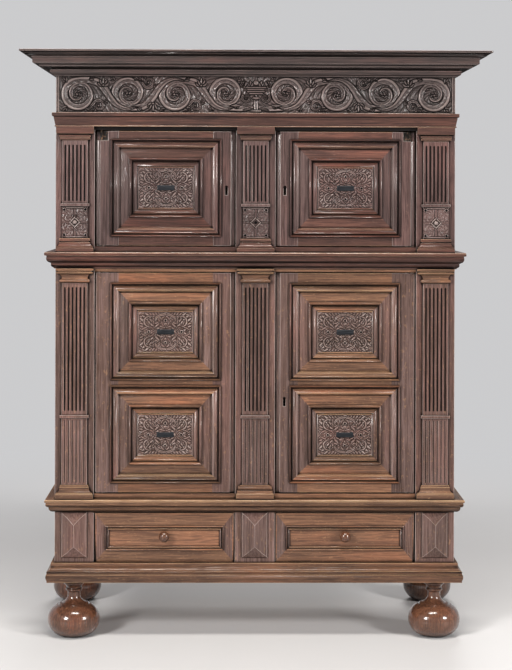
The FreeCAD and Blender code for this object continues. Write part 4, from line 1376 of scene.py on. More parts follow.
@dataclass
class CarvedField:
    """A carved rectangle, worked as heights over a fine grid, in millimetres.

    Args:
        width: Width of the field.
        height: Height of the field.
        pitch: Distance between the grid's lines.
        ground: Thickness of the wood left under the ground.
        back: How far the wood runs back from the plane that it stands on.
        moat: Width of the shadow line that is cut round a stroke.
        punched: Depth of the punch marks in the ground.
        unpunched: Share of the ground that has no punch marks.
        moat_floor: Share of the ground's thickness that is left at the foot of the shadow line.
        fringe_length: Length of one swell of a stem's leafy fringe.
        crown: Height over the ground at which wear is greatest.
        tier: How far one ring of background leaves reaches.
        tier_turn: How far each ring is turned against the one inside it, in radians.
        waist: Height of a background leaf at the ends of its ring, as a share of its middle.
        rub: How strongly the crests are worn.
        rub_starts: Share of the crown from which a crest is worn.
        rub_span: Share of the crown over which its wear grows.
        shadow: How high the painted shade and soiling of the ground reach, as a share of the highest
            crests.
        highest: Percentile of the heights that counts as the highest crests.
        crease_degrees: Least angle between faces that keeps their edge sharp.
    """

    width: float
    height: float
    pitch: float = 1.3
    ground: float = 1.4
    back: float = 0.3
    moat: float = 1.8
    punched: float = 0.5
    unpunched: float = 0.72
    moat_floor: float = 0.35
    fringe_length: float = 27.0
    crown: float = 7.0
    tier: float = 17.0
    tier_turn: float = 0.9
    waist: float = 0.55
    rub: float = 0.4
    rub_starts: float = 0.5
    rub_span: float = 0.45
    shadow: float = 0.5
    highest: float = 97.0
    crease_degrees: float = 75.0

    def __post_init__(self) -> None:
        """Lays out the grid with a punched ground."""
        self.columns = round(self.width / self.pitch)
        self.rows = round(self.height / self.pitch)
        self.across = np.linspace(-self.width / 2, self.width / 2, self.columns + 1)
        self.up = np.linspace(-self.height / 2, self.height / 2, self.rows + 1)
        grains = np.random.default_rng(len(self.across) * 7 + len(self.up))
        pattern = grains.random((len(self.up), len(self.across)))
        self.level = self.ground - self.punched * (pattern > self.unpunched) * pattern
        self.crest = np.zeros_like(self.level)

    def foliate(self, swirls: list[tuple[float, float, int]], count: int, twist: float,
                height: float) -> None:
        """Covers the ground with small leaves that swirl about centres.

        Args:
            swirls: Each centre and the way that its leaves turn.
            count: How many leaves go round a centre.
            twist: How much a leaf turns as it runs out, in radians to the millimetre.
            height: Height of the leaves.
        """
        x, y = np.meshgrid(self.across, self.up)
        nearest = np.full(x.shape, np.inf)
        leaves = np.zeros(x.shape)
        for centre_x, centre_y, turn in swirls:
            away = np.hypot(x - centre_x, y - centre_y)
            angle = np.arctan2(y - centre_y, x - centre_x)
            tier = np.floor(away / self.tier)
            phase = count * (angle + turn * twist * away + tier * self.tier_turn)
            swell = np.sin(np.pi * (away / self.tier - tier))
            leaf = np.abs(np.sin(phase / 2)) ** FULLNESS * (self.waist + (1.0 - self.waist) * swell)
            leaves = np.where(away < nearest, leaf, leaves)
            nearest = np.minimum(nearest, away)
        self.level += height * leaves
        self.crest = np.maximum(self.crest, leaves * height / self.crown)

    def carve(self, strokes: list[Stroke]) -> None:
        """Carves strokes one after another, each over the ones before it."""
        for stroke in strokes:
            self._carve_one(stroke)

    def _carve_one(self, stroke: Stroke) -> None:
        """Carves one stroke and the shadow line round it.

        Args:
            stroke: The stroke.
        """
        reach = stroke.widths.max() + self.moat
        low = stroke.points.min(0) - reach
        high = stroke.points.max(0) + reach
        i0, i1 = np.searchsorted(self.across, [low[0], high[0]])
        j0, j1 = np.searchsorted(self.up, [low[1], high[1]])
        if i0 >= i1 or j0 >= j1:
            return
        window = (slice(j0, j1), slice(i0, i1))
        grid = np.meshgrid(self.across[i0:i1], self.up[j0:j1])
        outside, half, side, travel = self._measure(stroke, *grid)
        inside = outside < 0.0
        old = self.level[window]
        old_crest = self.crest[window]
        if stroke.cut is Cut.PIT:
            self.level[window] = np.where(inside, np.minimum(old, stroke.height), old)
            self.crest[window] = np.where(inside, 0.0, old_crest)
            return
        share = np.clip(1.0 + outside / np.maximum(half, LEAST_HALF_WIDTH), 0.0, 1.0)
        profile = self._profile(stroke.cut, share, side * stroke.side, travel)
        beside = (outside >= 0.0) & (outside < self.moat)
        fade = outside / self.moat
        foot = self.ground * (self.moat_floor + (1.0 - self.moat_floor) * fade)
        floor = foot + np.maximum(old - self.ground, 0.0) * fade ** 2
        cut = np.where(beside, np.minimum(old, floor), old)
        new = self.ground + profile * stroke.height
        self.level[window] = np.where(inside, new, cut)
        self.crest[window] = np.where(inside, profile * stroke.height / self.crown,
                                      np.where(beside, old_crest * fade, old_crest))

    @staticmethod
    def _measure(stroke: Stroke, x: np.ndarray, y: np.ndarray) -> tuple[np.ndarray, ...]:
        """Measures a grid against a stroke.

        Args:
            stroke: The stroke.
            x: How far each place of the grid lies to the right.
            y: How high each place of the grid lies.

        Returns:
            How far each place lies outside the stroke, the half width there, the side that it
            lies on and the distance travelled along the stroke.
        """
        outside = np.full(x.shape, np.inf)
        half = np.ones(x.shape)
        side = np.zeros(x.shape)
        travel = np.zeros(x.shape)
        walked = 0.0
        for k in range(len(stroke.points) - 1):
            start, end = stroke.points[k], stroke.points[k + 1]
            run = end - start
            length = max(float(np.hypot(*run)), TINY)
            dx, dy = x - start[0], y - start[1]
            along = np.clip((dx * run[0] + dy * run[1]) / length ** 2, 0.0, 1.0)
            away = np.hypot(dx - along * run[0], dy - along * run[1])
            width = stroke.widths[k] + (stroke.widths[k + 1] - stroke.widths[k]) * along
            nearer = away - width < outside
            outside = np.where(nearer, away - width, outside)
            half = np.where(nearer, width, half)
            side = np.where(nearer, np.sign(run[0] * dy - run[1] * dx), side)
            travel = np.where(nearer, walked + along * length, travel)
            walked += length
        return outside, half, side, travel

    def _profile(self, cut: Cut, share: np.ndarray, side: np.ndarray, travel: np.ndarray) -> np.ndarray:
        """Height of a cut as a share of its crest.

        Args:
            cut: The cut.
            share: Distance from the middle as a share of the half width.
            side: Side of the middle, positive on the bold side.
            travel: Distance along the stroke.

        Returns:
            The height.
        """
        dome = np.sqrt(np.clip(1.0 - share ** 2, 0.0, 1.0))
        signed = share * side
        if cut is Cut.CHANNEL:
            return dome ** FULLNESS * vein(share, *CHANNEL_VEIN)
        if cut is Cut.STEM:
            swell = 0.5 + 0.5 * np.cos(2 * np.pi * (travel / self.fringe_length + share * FRINGE_SLANT))
            fringe = ridge(signed, *STEM_FRINGE) * (FRINGE_LOW + FRINGE_SWELL * swell)
            return np.maximum.reduce([STEM_BODY * dome, ridge(signed, *STEM_ROLL), fringe,
                                      FILLET_HEIGHT * ridge(signed, *STEM_FILLET)])
        if cut is Cut.LEAF:
            return (1.0 - share) ** FULLNESS * vein(share, *LEAF_VEIN)
        if cut is Cut.FLAT:
            return np.clip((1.0 - share) / FLAT_SLOPE_SHARE, 0.0, 1.0)
        return dome

    def build(self, name: str, centre: Vector, seed: str) -> Object:
        """Makes the carved body, whose front faces the viewer.

        Args:
            name: The piece's name.
            centre: Middle of the field in the plane that it stands on, in metres.
            seed: The name that its grain is drawn from.

        Returns:
            The new piece.
        """
        bm = bmesh.new()
        bmesh.ops.create_grid(bm, x_segments=self.columns, y_segments=self.rows, size=0.5)
        crest = bm.verts.layers.float.new("arris")
        hollow = bm.verts.layers.float.new("hollow")
        shade_top = np.percentile(self.level, self.highest) * self.shadow
        for vert in bm.verts:
            i = round((vert.co.x + 0.5) * self.columns)
            j = round((vert.co.y + 0.5) * self.rows)
            level = self.level[j, i]
            worn = min(1.0, max(0.0, self.crest[j, i] - self.rub_starts) / self.rub_span)
            vert[crest] = self.rub * worn
            # Painted shade and soiling, darker the deeper the ground lies
            vert[hollow] = min(1.0, max(0.0, 1.0 - (level - self.ground * self.moat_floor) / shade_top))
            vert.co = (self.across[i] * MM, -level * MM, self.up[j] * MM)
        rim = [edge for edge in bm.edges if edge.is_boundary]
        made = bmesh.ops.extrude_edge_only(bm, edges=rim)
        for vert in made["geom"]:
            if isinstance(vert, BMVert):
                vert.co.y = self.back * MM
        bmesh.ops.holes_fill(bm, edges=[edge for edge in bm.edges if edge.is_boundary], sides=0)
        bmesh.ops.translate(bm, verts=bm.verts, vec=centre)
        bmesh.ops.recalc_face_normals(bm, faces=bm.faces)
        piece = finished(bm, name, self.crease_degrees)
        mesh = piece.data
        lay_grain(mesh, [list(range(len(mesh.vertices)))], seed, GrainAxis.X)
        # Marked upright though the grain runs across, so that the carving takes the painted side sheen
        set_values(mesh, "upright", "FLOAT", np.ones(len(mesh.vertices)))
        LOG.info("carved %s: %d faces", name, len(mesh.polygons))
        return piece


@dataclass(frozen=True)
class Volute:
    """One scroll of the frieze.

    Args:
        x: How far its centre lies from the frieze's middle.
        y: How high its centre lies over the frieze's middle.
        turn: 1 where the stem comes in along the bottom, -1 where it comes in along the top.
    """

    x: float
    y: float
    turn: int


@dataclass
class FriezeCarving:
    """Running scroll of the frieze, mirrored about an urn, in millimetres.

    The right half is drawn, with the stem growing outwards from the urn's foot.

    Args:
        length: Length of the carved field.
        height: Height of the carved field.
        volutes: The scrolls, from the urn outwards.
        radii: Radii of a scroll, from its rim to its eye.
        stem: Half widths of a scroll's stem, from its rim to its eye.
        first_stem: Places on the stem's way to the first scroll.
        small_scrolls: Centre and turn of each small scroll.
        buds: Place of each bud and the edge that it lies at.
        edge_leaves: Root and direction in degrees of each tuft at the edges.
        urn_bands: Height and half length of each band of the urn.
        urn_berries: Places of the berries over the urn's shoulders.
        relief: Height of the boldest work.
        leaf_count: How many leaves of the ground go round a scroll.
        leaf_height: Their height as a share of the relief.
        leaf_twist: How much they turn on their way out, in radians to the millimetre.
    """

    length: float
    height: float
    volutes: tuple[Volute, ...] = (Volute(113.0, 5.0, 1), Volute(295.0, 0.0, -1),
                                   Volute(466.0, 4.0, 1), Volute(647.0, 0.0, -1))
    radii: tuple[float, ...] = (50.0, 46.0, 45.0, 48.0, 50.0, 44.0, 30.0, 21.5, 19.0, 16.5, 12.0, 7.0)
    stem: tuple[float, ...] = (13.0, 13.0, 13.0, 12.5, 10.5, 8.5, 7.4, 7.8, 7.6, 6.4, 5.0, 3.6)
    first_stem: tuple[Point, ...] = ((8.0, -42.0), (30.0, -50.0), (62.0, -50.0), (100.0, -46.0))
    small_scrolls: tuple[tuple[float, float, int], ...] = ((219.0, -40.0, 1), (569.0, -41.0, 1),
                                                           (389.0, 43.0, -1))
    buds: tuple[tuple[float, int], ...] = ((198.0, 1), (552.0, 1), (372.0, -1))
    edge_leaves: tuple[tuple[float, float, float], ...] = (
        (256.0, 50.0, 150.0), (330.0, -52.0, -20.0), (430.0, -50.0, 200.0), (510.0, 52.0, 25.0),
        (602.0, 54.0, 160.0), (152.0, -56.0, 20.0), (426.0, 56.0, 10.0), (248.0, -58.0, 0.0),
        (602.0, -58.0, 0.0))
    urn_bands: tuple[Point, ...] = ((26.0, 37.0), (18.5, 34.0), (11.5, 29.0), (4.5, 22.0))
    urn_berries: tuple[Point, ...] = ((-42.0, 28.0), (-36.0, 18.0), (36.0, 18.0), (42.0, 28.0))
    relief: float = 7.6
    leaf_count: int = 15
    leaf_height: float = 0.46
    leaf_twist: float = 0.03

    def halves(self) -> list[CarvedField]:
        """Carves the two halves of the frieze.

        Returns:
            The left half and the right half.
        """
        strokes = self._between() + self._scrolls() + self._buds() + self._urn()
        fields = []
        for side in (-1, 1):
            half = CarvedField(self.length / 2, self.height, back=0.0)
            shift = (-side * self.length / 4, 0.0)
            swirls = [(side * volute.x + shift[0], volute.y, side * volute.turn)
                      for volute in self.volutes]
            half.foliate(swirls, self.leaf_count, self.leaf_twist, self.relief * self.leaf_height)
            half.carve([stroke.moved(side, 1.0, shift) for stroke in strokes])
            fields.append(half)
        return fields

    def _scrolls(self) -> list[Stroke]:
        """The volutes and the broad stems that lead to them.

        Returns:
            The strokes, from the urn outwards.
        """
        strokes: list[Stroke] = []
        leads = [through(self.first_stem, (5.0, 8.0, 12.0, 13.0), self.relief)]
        leads += [self._link(inner, outer) for inner, outer in zip(self.volutes, self.volutes[1:])]
        for volute, lead in zip(self.volutes, leads):
            strokes += self._volute(volute, lead)
        return strokes

    def _link(self, inner: Volute, outer: Volute) -> Stroke:
        """The broad stem that leaves one volute's rim and sweeps over the next one.

        Args:
            inner: The volute nearer to the urn.
            outer: The next volute.

        Returns:
            The stem.
        """
        up = -outer.turn
        places = ((inner.x - 34.0, inner.y - up * 50.0), (inner.x, inner.y - up * 57.0),
                  (inner.x + 34.0, inner.y - up * 45.0), (inner.x + 57.0, inner.y - up * 22.0),
                  (inner.x + 77.0, inner.y + up * 8.0), (inner.x + 101.0, inner.y + up * 36.0),
                  (outer.x - 46.0, outer.y + up * 51.0), (outer.x - 14.0, outer.y + up * 52.0))
        return through(places, (2.0, 6.0, 9.0, 12.0, 14.0, 14.0, 13.5, 13.0), self.relief)

    def _volute(self, volute: Volute, lead: Stroke) -> list[Stroke]:
        """One volute with its leafage and the flower in its eye.

        Args:
            volute: The volute.
            lead: The stem that comes before its rim.

        Returns:
            The strokes.
        """
        turn = volute.turn
        middle = (volute.x, volute.y)
        start = -90.0 * turn
        strokes = []
        for i in range(5):
            angle = start + turn * (290.0 + i * 26.0)
            strokes.append(self._leaf(volute, angle, 44.0 - 2.5 * i, 29.0, 0.5, 5.4))
        rim = spiral(middle, start, turn * 700.0, self.radii, self.stem, self.relief, Cut.STEM)
        rim.points = np.vstack([lead.points, rim.points])
        rim.widths = np.concatenate([lead.widths, rim.widths])
        strokes.append(rim)
        for i in range(3):
            strokes.append(self._leaf(volute, start + turn * (130.0 + i * 115.0), 13.0, 4.0, 1.0, 4.0))
        strokes.append(dot(middle, 4.6, self.relief))
        return strokes

    def _leaf(self, volute: Volute, degrees: float, outer: float, inner: float, ahead: float,
              width: float) -> Stroke:
        """A leaf that lies aslant between two radii of a volute.

        Args:
            volute: The volute.
            degrees: Direction from the volute's centre to the leaf's root.
            outer: Radius of the root.
            inner: Radius of the tip.
            ahead: How far the tip lies ahead of the root, in radians.
            width: Greatest half width.

        Returns:
            The leaf.
        """
        start = math.radians(degrees)
        end = start + volute.turn * ahead
        root = (volute.x + outer * math.cos(start), volute.y + outer * math.sin(start))
        tip = (volute.x + inner * math.cos(end), volute.y + inner * math.sin(end))
        return line(root, tip, width, self.relief * 0.72, Cut.LEAF, (0.7, 0.25), -volute.turn * 3.0)

    def _between(self) -> list[Stroke]:
        """Small scrolls that fill the spaces between the volutes.

        Returns:
            The strokes.
        """
        strokes: list[Stroke] = []
        for x, y, turn in self.small_scrolls:
            strokes.append(spiral((x, y), 20.0 * turn, turn * 470.0, (20.0, 19.0, 17.0, 12.0, 7.0, 3.0),
                                  (5.0, 5.0, 4.4, 3.2, 2.4, 2.0), self.relief * 0.9, Cut.CHANNEL,
                                  [(x + 34.0, y + turn * -10.0), (x + 27.0, y + turn * -1.0)]))
            strokes.append(dot((x, y), 4.2, self.relief))
            strokes.append(dot((x + 11.0, y - turn * 17.0), 3.6, self.relief * 0.9))
            strokes += fan((x + 20.0, y - turn * 6.0), -turn * 40.0, 42.0, 4, 20.0, 3.4, self.relief * 0.8)
            strokes += fan((x - 20.0, y + turn * 10.0), 180.0 - turn * 30.0, 36.0, 3, 18.0, 3.2,
                           self.relief * 0.7)
        return strokes

    def _buds(self) -> list[Stroke]:
        """Buds and leaves along the frieze's edges.

        Returns:
            The strokes.
        """
        strokes: list[Stroke] = []
        relief = self.relief
        for x, side in self.buds:
            strokes += fan((x, side * 30.0), side * 90.0, 58.0, 5, 33.0, 4.4, relief, 3.0)
            strokes.append(dot((x, side * 33.0), 4.6, relief))
        for side in (1, -1):
            strokes += fan((684.0, side * 44.0), side * 50.0, 34.0, 3, 26.0, 3.6, relief * 0.8)
            strokes += fan((66.0, side * 50.0), 90.0 + side * 30.0, 40.0, 3, 20.0, 3.4, relief * 0.7)
        for x, y, heading in self.edge_leaves:
            strokes += fan((x, y), heading, 30.0, 3, 20.0, 3.4, relief * 0.75)
        return strokes

    def _urn(self) -> list[Stroke]:
        """The urn in the middle with its bands, handles, foot and foliage.

        Returns:
            The strokes.
        """
        relief = self.relief
        strokes: list[Stroke] = []
        for side in (-1, 1):
            strokes += fan((side * 42.0, 30.0), 90.0 - side * 20.0, 40.0, 4, 26.0, 4.4, relief * 0.9, 2.0)
            strokes += fan((side * 17.0, 30.0), 90.0 - side * 8.0, 30.0, 3, 22.0, 4.6, relief * 0.95, 1.5)
            strokes.append(spiral((side * 35.0, -11.0), 90.0 - side * 60.0, -side * 430.0,
                                  (15.0, 14.0, 11.0, 7.0, 3.0), (4.2, 4.0, 3.2, 2.4, 2.0), relief))
            strokes.append(line((side * 58.0, -39.0), (side * 92.0, -39.0), 5.4, relief * 0.9, Cut.LEAF,
                                (0.3, 0.2)))
            strokes.append(dot((side * 46.0, 44.0), 3.6, relief))
            strokes.append(through(((side * 6.0, -57.0), (side * 26.0, -52.0), (side * 44.0, -57.0)),
                                   (3.4, 4.0, 3.0), relief * 0.9))
        strokes.append(dot((0.0, 44.0), 10.0, relief))
        for i, (y, half) in enumerate(self.urn_bands):
            strokes.append(line((-half, y), (half, y), 3.7, relief * (0.84 + 0.05 * i)))
        strokes += [dot(place, 3.4, relief) for place in self.urn_berries]
        strokes.append(line((0.0, -22.0), (0.0, -58.0), 8.4, relief * 0.85, Cut.CHANNEL))
        strokes.append(line((-13.0, -12.0), (13.0, -12.0), 6.5, relief, Cut.LEAF, (0.3, 0.3)))
        strokes.append(dot((0.0, -3.0), 4.2, relief))
        strokes.append(line((-17.0, -59.0), (17.0, -59.0), 3.6, relief))
        return strokes


@dataclass
class PanelCarving:
    """Strapwork and leaves round the bar of a door panel, in millimetres.

    The dots are drilled bosses. The leaves of the ground swirl about the leaf centres, which are
    given for the upper right quarter.
    """

    width: float
    height: float
    relief: float = 4.6
    dots: tuple[Point, ...] = ((-61.0, 0.0), (58.0, 0.0), (0.0, 41.0), (0.0, -39.0))
    leaf_count: int = 9
    leaf_height: float = 0.62
    leaf_twist: float = 0.06
    leaf_centres: tuple[Point, ...] = ((60.0, 37.0), (22.0, 30.0))
    taper: tuple[float, float] = (0.6, 0.3)
    strap_taper: tuple[float, float] = (0.6, 0.4)

    def field(self) -> CarvedField:
        """Carves one panel, the same in its four quarters.

        Returns:
            The carved field.
        """
        carved = CarvedField(self.width, self.height, pitch=1.1, ground=0.9, moat=1.4,
                             crown=self.relief * 0.8, tier=13.0, rub=0.75, shadow=0.66)
        swirls = [(across * x, up * y, across * up) for x, y in self.leaf_centres
                  for across, up in QUARTERS]
        carved.foliate(swirls, self.leaf_count, self.leaf_twist, self.relief * self.leaf_height)
        for strokes in (self._leaves(), self._straps()):
            for across, up in QUARTERS:
                carved.carve([stroke.moved(across, up) for stroke in strokes])
        for place in self.dots:
            carved.carve([dot(place, 7.6, self.relief * 0.9), dot(place, 3.6, 0.15, Cut.PIT)])
        return carved

    def _leaves(self) -> list[Stroke]:
        """Leaf gouges of the upper right quarter.

        Returns:
            The strokes.
        """
        relief = self.relief
        head = [line((6.0 + i * 11.0, 60.0), (14.0 + i * 11.0, 70.0), 4.6, relief * 0.65, Cut.LEAF,
                     self.taper, -1.5) for i in range(5)]
        side = [line((80.0, 5.0 + i * 10.0), (94.0, 11.0 + i * 10.0), 4.6, relief * 0.7, Cut.LEAF,
                     self.taper, 1.5) for i in range(3)]
        inner = [line((30.0 + i * 6.0, 10.0 + i * 7.5), (14.0 + i * 9.0, 27.0 + i * 7.5), 5.0,
                      relief * 0.75, Cut.LEAF, self.taper, 2.0 - i) for i in range(4)]
        corner = [line((54.0 + i * 9.5, 50.0 - i * 9.5), (75.0 + i * 9.5, 69.0 - i * 9.5), 4.8, relief,
                       Cut.LEAF, (0.7, 0.3), 1.0) for i in range(3)]
        middle = line((2.0, 14.0), (22.0, 17.0), 4.6, relief * 0.7, Cut.LEAF, self.taper, 3.0)
        return head + side + inner + corner + [middle]

    def _straps(self) -> list[Stroke]:
        """Straps and scrolls of the upper right quarter.

        Returns:
            The strokes.
        """
        relief, taper = self.relief, self.strap_taper
        return [
            line((40.0, 4.0), (58.0, 18.0), 3.6, relief * 0.55, Cut.LEAF, taper, 2.0),
            line((62.0, 18.0), (90.0, 4.0), 3.8, relief * 0.5, Cut.ROUND, taper, 2.0),
            line((5.0, 20.0), (15.0, 38.0), 3.8, relief * 0.55, Cut.LEAF, taper, -2.0),
            line((14.0, 42.0), (2.0, 55.0), 3.8, relief * 0.5, Cut.ROUND, taper, -3.0),
            through(((0.0, 63.0), (18.0, 60.0), (31.0, 52.0), (38.0, 40.0)),
                    (4.0, 4.8, 4.4, 2.6), relief * 0.7),
            spiral((56.0, 37.0), 110.0, -190.0, (18.0, 20.0, 21.0, 19.0), (1.8, 3.6, 4.0, 2.0),
                   relief * 0.8, Cut.LEAF),
            spiral((54.0, 33.0), 250.0, -150.0, (11.0, 12.0, 11.0), (1.8, 3.6, 2.0), relief * 0.7,
                   Cut.LEAF),
            line((57.0, 27.0), (66.0, 40.0), 3.8, relief * 0.8, Cut.LEAF, taper, 2.5),
            line((50.0, 36.0), (60.0, 47.0), 3.6, relief * 0.75, Cut.LEAF, taper, 2.0),
            line((27.0, 36.0), (40.0, 31.0), 3.6, relief * 0.75, Cut.LEAF, taper, -2.5),
            line((44.0, 22.0), (54.0, 31.0), 4.2, relief * 0.8, Cut.LEAF, self.taper, -2.0),
        ]


@dataclass
class BlockCarving:
    """Square block with a lozenge boss, four straps and drilled corners, in millimetres.

    The lozenge is given by half its width. The leaves of the ground swirl about the leaf centre,
    which is given for the upper right quarter.
    """

    width: float
    height: float
    thickness: float
    boss_rise: float = 6.0
    relief: float = 2.8
    lozenge: float = 17.5
    hole_inset: float = 8.0
    leaf_count: int = 7
    leaf_height: float = 0.5
    leaf_twist: float = 0.06
    leaf_centre: Point = (22.0, 27.0)

    def field(self, has_boss: bool) -> CarvedField:
        """Carves one block.

        Args:
            has_boss: Whether the boss is still there, or the hole that it left.

        Returns:
            The carved field.
        """
        carved = CarvedField(self.width, self.height, pitch=1.0, ground=self.thickness - self.relief,
                             back=0.0, moat=1.4, crown=self.relief * 0.7, tier=12.0, rub=0.7)
        relief = self.relief
        half_w, half_h = self.width / 2, self.height / 2
        swirls = [(across * self.leaf_centre[0], up * self.leaf_centre[1], across * up)
                  for across, up in reversed(QUARTERS)]
        carved.foliate(swirls, self.leaf_count, self.leaf_twist, relief * self.leaf_height)
        strokes: list[Stroke] = []
        for side in (-1, 1):
            strokes.append(line((side * self.lozenge, 0.0), (side * (half_w - 2.0), 0.0), 3.4,
                                relief * 0.45, Cut.CHANNEL))
            strokes.append(line((0.0, side * self.lozenge), (0.0, side * (half_h - 2.0)), 5.0,
                                relief * 0.4, Cut.CHANNEL))
            strokes.append(line((-half_w, side * (half_h - 1.5)), (half_w, side * (half_h - 1.5)), 2.4,
                                relief * 0.6))
        corners = ((self.lozenge, 0.0), (0.0, self.lozenge), (-self.lozenge, 0.0), (0.0, -self.lozenge))
        strokes.append(dot((0.0, 0.0), self.lozenge * 0.7, 0.3, Cut.FLAT))
        for start, end in zip(corners, corners[1:] + corners[:1]):
            strokes.append(line(start, end, 2.8, relief))
        for across, up in QUARTERS:
            centre = (across * (half_w - self.hole_inset), up * (half_h - self.hole_inset))
            strokes.append(dot(centre, 7.4, relief * 0.8))
            strokes.append(dot(centre, 4.2, 0.3, Cut.PIT))
        if has_boss:
            strokes.append(dot((0.0, 0.0), 8.5, relief + self.boss_rise - 0.5))
        else:
            strokes.append(dot((0.0, 0.0), 5.4, 0.2, Cut.PIT))
        carved.carve(strokes)
        return carved


@dataclass(frozen=True)
class Lamp:
    """A soft rectangular light, in metres and watts."""

    name: str
    place: tuple[float, float, float]
    target: tuple[float, float, float]
    size: tuple[float, float]
    power: float
    colour: tuple[float, float, float] = (1.0, 0.97, 0.94)

    def hang(self) -> None:
        """Adds the light to the scene."""
        data = bpy.data.lights.new(self.name, "AREA")
        data.shape = "RECTANGLE"
        data.size, data.size_y = self.size
        data.energy = self.power
        data.color = self.colour
        light = bpy.data.objects.new(self.name, data)
        light.location = self.place
        direction = Vector(self.target) - Vector(self.place)
        light.rotation_euler = direction.to_track_quat("-Z", "Y").to_euler()
        bpy.context.scene.collection.objects.link(light)


LAMPS = (
    Lamp("Left soft box", (-3.2, -4.2, 2.5), (-0.1, -0.3, 1.1), (0.9, 1.3), 255.0),
    Lamp("Right soft box", (4.3, -3.7, 2.4), (0.1, -0.3, 1.0), (0.9, 1.3), 230.0),
    Lamp("Back fill", (0.8, 6.0, 4.4), (0.0, 0.4, 1.0), (3.0, 2.0), 190.0),
    Lamp("Top light", (0.0, -2.3, 4.9), (0.0, -0.2, 1.2), (2.2, 0.7), 180.0, (1.0, 0.95, 0.88)),
)


@dataclass
class Studio:
    """Camera, lights, floor and round wall.

    Lengths are in metres, the lens and its sensor in millimetres. Seen by the camera, the paper
    starts to be even at the distance wall_starts and is wholly even at wall_ends.
    """

    eye_height: float = 1.616
    distance: float = 5.978
    focal_length: float = 88.73
    sensor: float = 36.0
    aim_x: float = -0.081
    yaw_degrees: float = -0.787
    pitch_degrees: float = 0.008
    roll_degrees: float = 0.179
    shift_y: float = -0.2129
    clip_end: float = 60.0
    surround_colour: Colour = shade(0.92, 0.94, 1.0)
    surround_strength: float = 0.12
    floor_colour: Colour = shade(0.62, 0.62, 0.63)
    floor_rough: float = 0.6
    darker: float = 0.96
    mottle: Waves = Waves(3.0, detail=4.0)
    wall_colour: Colour = shade(0.6, 0.6, 0.61)
    floor_radius: float = 11.0
    curve_radius: float = 2.5
    curve_steps: int = 12
    round_steps: int = 128
    wall_height: float = 9.0
    wall_starts: float = 1.4
    wall_ends: float = 4.2

    def camera(self, front_plane: float) -> None:
        """Sets the camera up.

        Args:
            front_plane: Place of the carcase's front along the second axis.
        """
        data = bpy.data.cameras.new("Photo view")
        data.lens = self.focal_length
        data.sensor_fit = "AUTO"
        data.sensor_width = self.sensor
        data.shift_y = self.shift_y
        data.clip_end = self.clip_end
        camera = bpy.data.objects.new("Photo view", data)
        camera.location = (self.aim_x, front_plane - self.distance, self.eye_height)
        camera.rotation_euler = Euler((math.radians(90.0 + self.pitch_degrees),
                                       math.radians(-self.roll_degrees),
                                       math.radians(self.yaw_degrees)))
        bpy.context.scene.collection.objects.link(camera)
        bpy.context.scene.camera = camera

    def lights(self) -> None:
        """Hangs the lamps and sets an even surround."""
        for lamp in LAMPS:
            lamp.hang()
        world = bpy.data.worlds.new("Surround")
        world.use_nodes = True
        background = world.node_tree.nodes["Background"]
        background.inputs["Color"].default_value = self.surround_colour
        background.inputs["Strength"].default_value = self.surround_strength
        bpy.context.scene.world = world

    def floor(self) -> None:
        """A pale floor that curves up into a round wall far from the cupboard."""
        bm = bmesh.new()
        bend = np.linspace(0.0, math.pi / 2, self.curve_steps + 1)
        profile = [(0.0, 0.0)]
        profile += [(self.floor_radius + self.curve_radius * math.sin(turn),
                     self.curve_radius * (1.0 - math.cos(turn))) for turn in bend]
        profile.append((profile[-1][0], self.wall_height))
        verts = [bm.verts.new((away, 0.0, up)) for away, up in profile]
        edges = [bm.edges.new(ends) for ends in zip(verts, verts[1:])]
        bmesh.ops.spin(bm, geom=verts + edges, cent=(0, 0, 0), axis=(0, 0, 1), angle=2 * math.pi,
                       steps=self.round_steps, use_merge=True)
        bmesh.ops.remove_doubles(bm, verts=bm.verts, dist=MM)
        bmesh.ops.recalc_face_normals(bm, faces=bm.faces)
        sheet = finished(bm, "Round studio", 180.0)
        sheet.data.materials.append(self.paper())

    def paper(self) -> Material:
        """Pale paper that keeps its shadows near the cupboard and is evenly pale far off.

        Returns:
            The material.
        """
        made, graph, shader = start_material("Pale paper")
        place = graph.add("TexCoord").outputs["Object"]
        darkest = shade(*(part * self.darker for part in self.floor_colour[:3]))
        colour = graph.blend(graph.noise(place, self.mottle), darkest, self.floor_colour)
        graph.fill(shader, {"Base Color": colour, "Roughness": self.floor_rough})
        away = graph.add("VectorMath", operation="LENGTH")
        graph.feed(away.inputs[0], place)
        far = graph.range(away.outputs["Value"], self.wall_starts, self.wall_ends)
        ray = graph.add("LightPath").outputs
        seen = graph.math("MAXIMUM", ray["Is Glossy Ray"], ray["Is Transmission Ray"])
        seen = graph.math("MAXIMUM", ray["Is Camera Ray"], seen)
        glow = graph.add("Emission")
        glow.inputs["Color"].default_value = self.wall_colour
        mixed = graph.add("MixShader")
        parts = (graph.math("MULTIPLY", far, seen), shader.outputs["BSDF"], glow.outputs["Emission"])
        for socket, part in zip(mixed.inputs, parts):
            graph.feed(socket, part)
        graph.feed(made.node_tree.nodes["Material Output"].inputs["Surface"], mixed.outputs[0])
        return made


